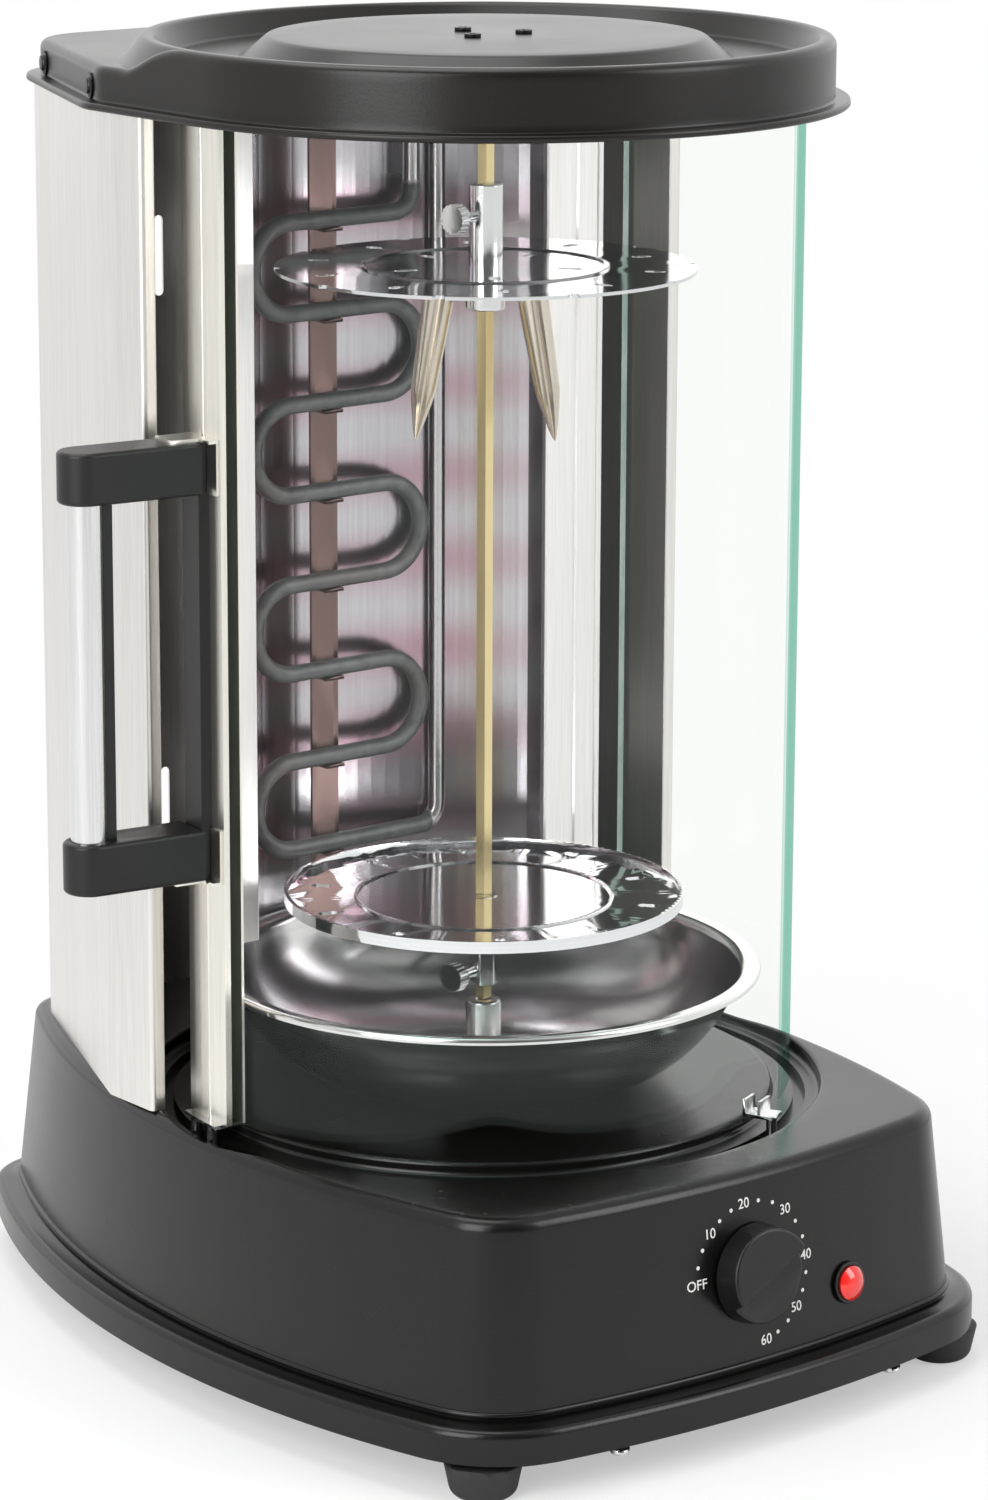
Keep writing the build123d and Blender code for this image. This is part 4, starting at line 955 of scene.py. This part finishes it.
def forkPlate(f):
    # flat plate between the prongs, a slot shape with its edge rounded over
    angle = np.linspace(0, 2 * np.pi, 96, endpoint=False)
    soft, thick = f["plateRound"], f["thick"]
    cosine, sine = np.cos(angle), np.sin(angle)
    outline = np.stack([np.sign(cosine) * f["plateHalf"] + soft * cosine, soft * sine], -1)
    way = np.stack([axis[:2] for axis in forkAxes(f)])
    rows = []
    for share, drop in ((0, 0), (0.97, 0), (1, 0.25), (1, thick - 0.25), (0.97, thick), (0, thick)):
        rows.append(np.column_stack([outline * share @ way, np.full(len(outline), f["plateTop"] - drop)]))
    return np.stack(rows)


forkParts = [forkGrid(fork, 1), forkGrid(fork, -1), forkPlate(fork)]
handPiece("meatProngs", forkParts, "forkSteel", "meat_fork")

# upright strips beside the opening: folded sheet with a groove and a rolled outer edge
jamb = {
    "inner": 65.8,
    "outer": 92.6,
    "front": 46.0,
    "back": 48.5,
    "groove": 79.0,
    "roll": 3.1,  # from the outer edge in to the second groove
    "bottom": 145.0,
    "top": 444.5,
}


def jambGrid(j, side):
    # the folded section, carried straight up, with a point at each end to close it
    inner, outer, front, back = j["inner"], j["outer"], j["front"], j["back"]
    loop = [(inner, back), (inner, front + 0.6), (inner + 0.6, front)]
    loop += [(j["groove"] + dx, front + dy) for dx, dy in ((-1.4, 0), (-0.8, 0.9), (0.8, 0.9), (1.4, 0))]
    loop += [(outer - j["roll"] + dx, front + dy) for dx, dy in ((-0.5, 0), (0, 0.5), (0.5, 0))]
    loop += [(outer - 0.7, front), (outer, front + 0.7), (outer, back)]
    loop = np.array(loop)[::side] * [side, 1]
    middle = np.repeat(loop.mean(0)[None], len(loop), 0)
    rings = ((middle, j["bottom"]), (loop, j["bottom"]), (loop, j["top"]), (middle, j["top"]))
    return np.stack([np.column_stack([ring, np.full(len(loop), height)]) for ring, height in rings])


for side, node in ((-1, "jamb_left"), (1, "jamb_right")):
    handPiece(node + "Strip", [jambGrid(jamb, side)], "stripSteel", node, angle=20)
print("fork and strips made")

# dial print: plain numbers round the knob
dialPrint = {
    "height": 59.0,
    "radius": 24.8,
    "labels": {"OFF": 179.0, "10": 136.5, "20": 95.8, "30": 49.4, "40": 2.1, "50": -40.8, "60": -80.5},
    "size": 5.0,
    "dotRadius": 0.72,
    "thick": 0.12,
}


def onPanel(across, up, proud):
    # a point of the bowed, leaning front wall, from its place beside the middle of the dial
    height = dialPrint["height"] + up * math.cos(baseLean)
    bow = base["frontBow"] - baseInset(height)
    tilt = np.arcsin(across / bow)
    y = base["frontBow"] - base["front"] - np.sqrt(bow**2 - across**2)
    outX, outY = np.sin(tilt) * math.cos(baseLean), -np.cos(tilt) * math.cos(baseLean)
    return np.stack([across + proud * outX, y + proud * outY, height + proud * math.sin(baseLean)], -1)


def printOn(d):
    # each label's outline and two dots between neighbours, laid on the panel
    vertices, faces, count = [], [], 0
    for word, angle in d["labels"].items():
        curve = bpy.data.curves.new("label", "FONT")
        curve.body, curve.size, curve.align_x, curve.align_y = word, d["size"], "CENTER", "CENTER"
        curve.offset = 0.04
        holder = bpy.data.objects.new("label", curve)
        scene.collection.objects.link(holder)
        bpy.context.view_layer.update()
        state = bpy.context.evaluated_depsgraph_get()
        shape = bpy.data.meshes.new_from_object(holder.evaluated_get(state))
        flat = np.empty(len(shape.vertices) * 3)
        shape.vertices.foreach_get("co", flat)
        flat = flat.reshape(-1, 3)
        across = flat[:, 0] + d["radius"] * math.cos(math.radians(angle))
        up = flat[:, 1] + d["radius"] * math.sin(math.radians(angle))
        vertices.append(onPanel(across, up, d["thick"]))
        faces += [[count + v for v in face.vertices] for face in shape.polygons]
        count += len(flat)
        bpy.data.objects.remove(holder)
    angles = list(d["labels"].values())
    for first, second in zip(angles, angles[1:]):
        for share in (1 / 3, 2 / 3):
            middle = math.radians(first + (second - first) * share)
            turn = np.linspace(0, 2 * np.pi, 14, endpoint=False)
            across = d["radius"] * math.cos(middle) + d["dotRadius"] * np.cos(turn)
            up = d["radius"] * math.sin(middle) + d["dotRadius"] * np.sin(turn)
            vertices.append(onPanel(across, up, d["thick"]))
            faces.append(list(range(count, count + len(turn))))
            count += len(turn)
    mesh = bpy.data.meshes.new("dialPrint")
    mesh.from_pydata(placed(np.concatenate(vertices)).tolist(), [], faces)
    mesh.materials.append(finishes["printWhite"])
    piece = bpy.data.objects.new("dialPrint", mesh)
    scene.collection.objects.link(piece)
    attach(piece, "housing")


printOn(dialPrint)
print("dial printed")

# timer knob: a round body with one half of its face raised as the grip
knob = {
    "radius": 17.4,
    "draft": 0.6,
    "gap": 1.0,  # between its back and the panel
    "body": 6.2,
    "grip": 11.6,
    "turn": 27.0,  # of the grip's straight side
    "step": (-2.2, 1.2),  # where the rise to the grip begins and ends
    "bowl": (0.9, -7.0, 6.0),  # height, middle and half width of the swell in the lower half
    "slope": 0.10,
    "edge": 1.1,
    "shaftHole": 3.0,
    "shaftRoom": 5.0,
    "shaftBack": -15.8,
    "shaftFront": 4.9,
}


def knobGrid(k, around=240):
    # rings from the middle of the face out over the rounded edge, down the side and in at the back
    angle = np.linspace(0, 2 * np.pi, around, endpoint=False)
    turn, rows = math.radians(k["turn"]), []
    rim = k["radius"] - k["draft"] - k["edge"]

    def face(radius):
        over = radius * np.sin(angle - turn)
        low, high = k["step"]
        rise = smoothStep((over - low) / (high - low))
        high, middle, half = k["bowl"]
        bowl = high * smoothStep(1 - np.abs(over - middle) / half) * (radius / k["radius"]) ** 2
        return k["body"] + (k["grip"] - k["body"] - k["slope"] * np.maximum(over, 0)) * rise + bowl

    def ring(radius, proud):
        proud = np.broadcast_to(proud, around)
        return np.stack([radius * np.cos(angle), radius * np.sin(angle), proud], -1)

    rows += [ring(r, face(r)) for r in np.linspace(0, rim, 56)]
    shoulder, gap, hole, room = face(rim) - k["edge"], k["gap"], k["shaftHole"], k["shaftRoom"]
    rows += [ring(rim + g, shoulder + z) for g, z in arcPoints((0, 0), k["edge"], 90, 0, 7)[1:]]
    rows += [ring(k["radius"] - k["draft"] * s, gap + (shoulder - gap) * s) for s in (0.5, 0.08, 0)]
    rows += [ring(k["radius"] - 1.5, gap), ring(hole, gap), ring(hole, room), ring(0, room)]
    return alongPanel(np.stack(rows))


def alongPanel(local):
    # from (across, up, proud) at the middle of the dial to the axis of the spit
    lean = baseLean
    axes = np.array([[1, 0, 0], [0, math.sin(lean), math.cos(lean)], [0, -math.cos(lean), math.sin(lean)]])
    return onPanel(np.array(0.0), 0.0, 0.0) + local @ axes


def shaftGrid(k, around=48):
    # the shaft ends inside the knob
    angle = np.linspace(0, 2 * np.pi, around, endpoint=False)
    radius, back, front = k["shaftHole"] - 0.05, k["shaftBack"], k["shaftFront"]
    rows = []
    for reach, proud in ((0, back), (radius, back), (radius, front), (0, front)):
        rows.append(np.stack([reach * np.cos(angle), reach * np.sin(angle), proud + 0 * angle], -1))
    return alongPanel(np.stack(rows))


handPiece("timerKnob", [knobGrid(knob)], "knobBlack", "timer_knob", angle=32)
handPiece("timerShaft", [shaftGrid(knob)], "screwSteel", "timer_shaft", angle=32)
print("knob made")


# floor and light
def layFloor():
    # white where the camera, metal or glass look at it from afar, and near the object partly its
    # own lit surface, which keeps the shadow
    size = 6.0
    corners = [(-size, -size, 0), (size, -size, 0), (size, size, 0), (-size, size, 0)]
    mesh = bpy.data.meshes.new("floor")
    mesh.from_pydata(corners, [], [(0, 1, 2, 3)])
    floor = bpy.data.objects.new("floor", mesh)
    scene.collection.objects.link(floor)
    r = Recipe("floorPale")
    pale = r.add("ShaderNodeBsdfDiffuse", None, {"Color": tone(0.92, 0.92, 0.92)})
    white = r.add("ShaderNodeEmission", None, {"Color": tone(1, 1, 1), "Strength": 1.0})
    away = r.add("ShaderNodeVectorMath", {"operation": "LENGTH"}, {0: r.spot()}, out="Value")
    camera = r.add("ShaderNodeLightPath", out="Is Camera Ray")
    glossy = r.add("ShaderNodeLightPath", out="Is Glossy Ray")
    through = r.add("ShaderNodeLightPath", out="Is Transmission Ray")
    seen, mirrored = away.ramp(0.20, 0.55, 0.45, 1.0), away.ramp(0.25, 0.8, 0.0, 0.8)
    share = camera * seen + (glossy + through) * mirrored
    mesh.materials.append(r.end(r.add("ShaderNodeMixShader", None, {0: share, 1: pale, 2: white})))


def setWorld(s):
    # the camera sees white; metal and gloss mirror a white studio with one dark side, where the
    # photographer stands; the rest is lit by a soft even sky
    world = bpy.data.worlds.new("studio")
    scene.world = world
    r = Recipe("studio", world)
    way = r.add("ShaderNodeTexCoord", out="Generated")
    values = {0: way, 1: s["darkSide"]}
    toward = r.add("ShaderNodeVectorMath", {"operation": "DOT_PRODUCT"}, values, out="Value")
    mirrored = toward.ramp(s["darkFrom"], s["darkTo"], s["mirrored"], s["mirroredDark"])
    mirrored = mirrored + toward.ramp(0.0, -0.7, 0.0, s["behind"])

    def sky(strength):
        return r.add("ShaderNodeBackground", None, {"Color": tone(1, 1, 1), "Strength": strength})

    def choose(ray, first, second):
        share = r.add("ShaderNodeLightPath", out=ray)
        return r.add("ShaderNodeMixShader", None, {0: share, 1: first, 2: second})

    seen = choose("Is Glossy Ray", sky(s["light"]), sky(mirrored))
    seen = choose("Is Transmission Ray", seen, sky(1.0))
    r.end(choose("Is Camera Ray", seen, sky(1.0)))


studio = {
    "light": 0.5,
    "mirrored": 0.95,
    "mirroredDark": 0.13,
    "behind": 0.5,
    "darkSide": (-0.61, -0.76, 0.22),
    "darkFrom": 0.35,
    "darkTo": 0.85,
}


def softbox(name, spot, aim, size, watts):
    # a lamp at spot, in millimetres from the axis, that looks at aim; its size is in metres
    lamp = bpy.data.lights.new(name, "AREA")
    lamp.shape, lamp.size, lamp.size_y = "RECTANGLE", size[0], size[1]
    lamp.energy = watts
    holder = bpy.data.objects.new(name, lamp)
    scene.collection.objects.link(holder)
    start, target = np.array(fromAxis(*spot)), np.array(fromAxis(*aim))
    back = (start - target) / np.linalg.norm(start - target)
    side = np.cross([0, 0, 1.0], back)
    side /= np.linalg.norm(side)
    matrix = np.eye(4)
    matrix[:3, 0], matrix[:3, 1], matrix[:3, 2], matrix[:3, 3] = side, np.cross(back, side), back, start
    holder.matrix_world = Matrix(matrix.tolist())


layFloor()
setWorld(studio)
softbox("leftBox", (-1500, -500, 900), (0, 0, 230), (0.9, 1.4), 22)
softbox("rightBox", (900, -1500, 1100), (0, 0, 230), (0.9, 1.2), 14)
softbox("topBox", (-200, 300, 1900), (0, 0, 300), (1.2, 1.2), 14)
print("studio set")

scene.view_settings.view_transform = "Standard"
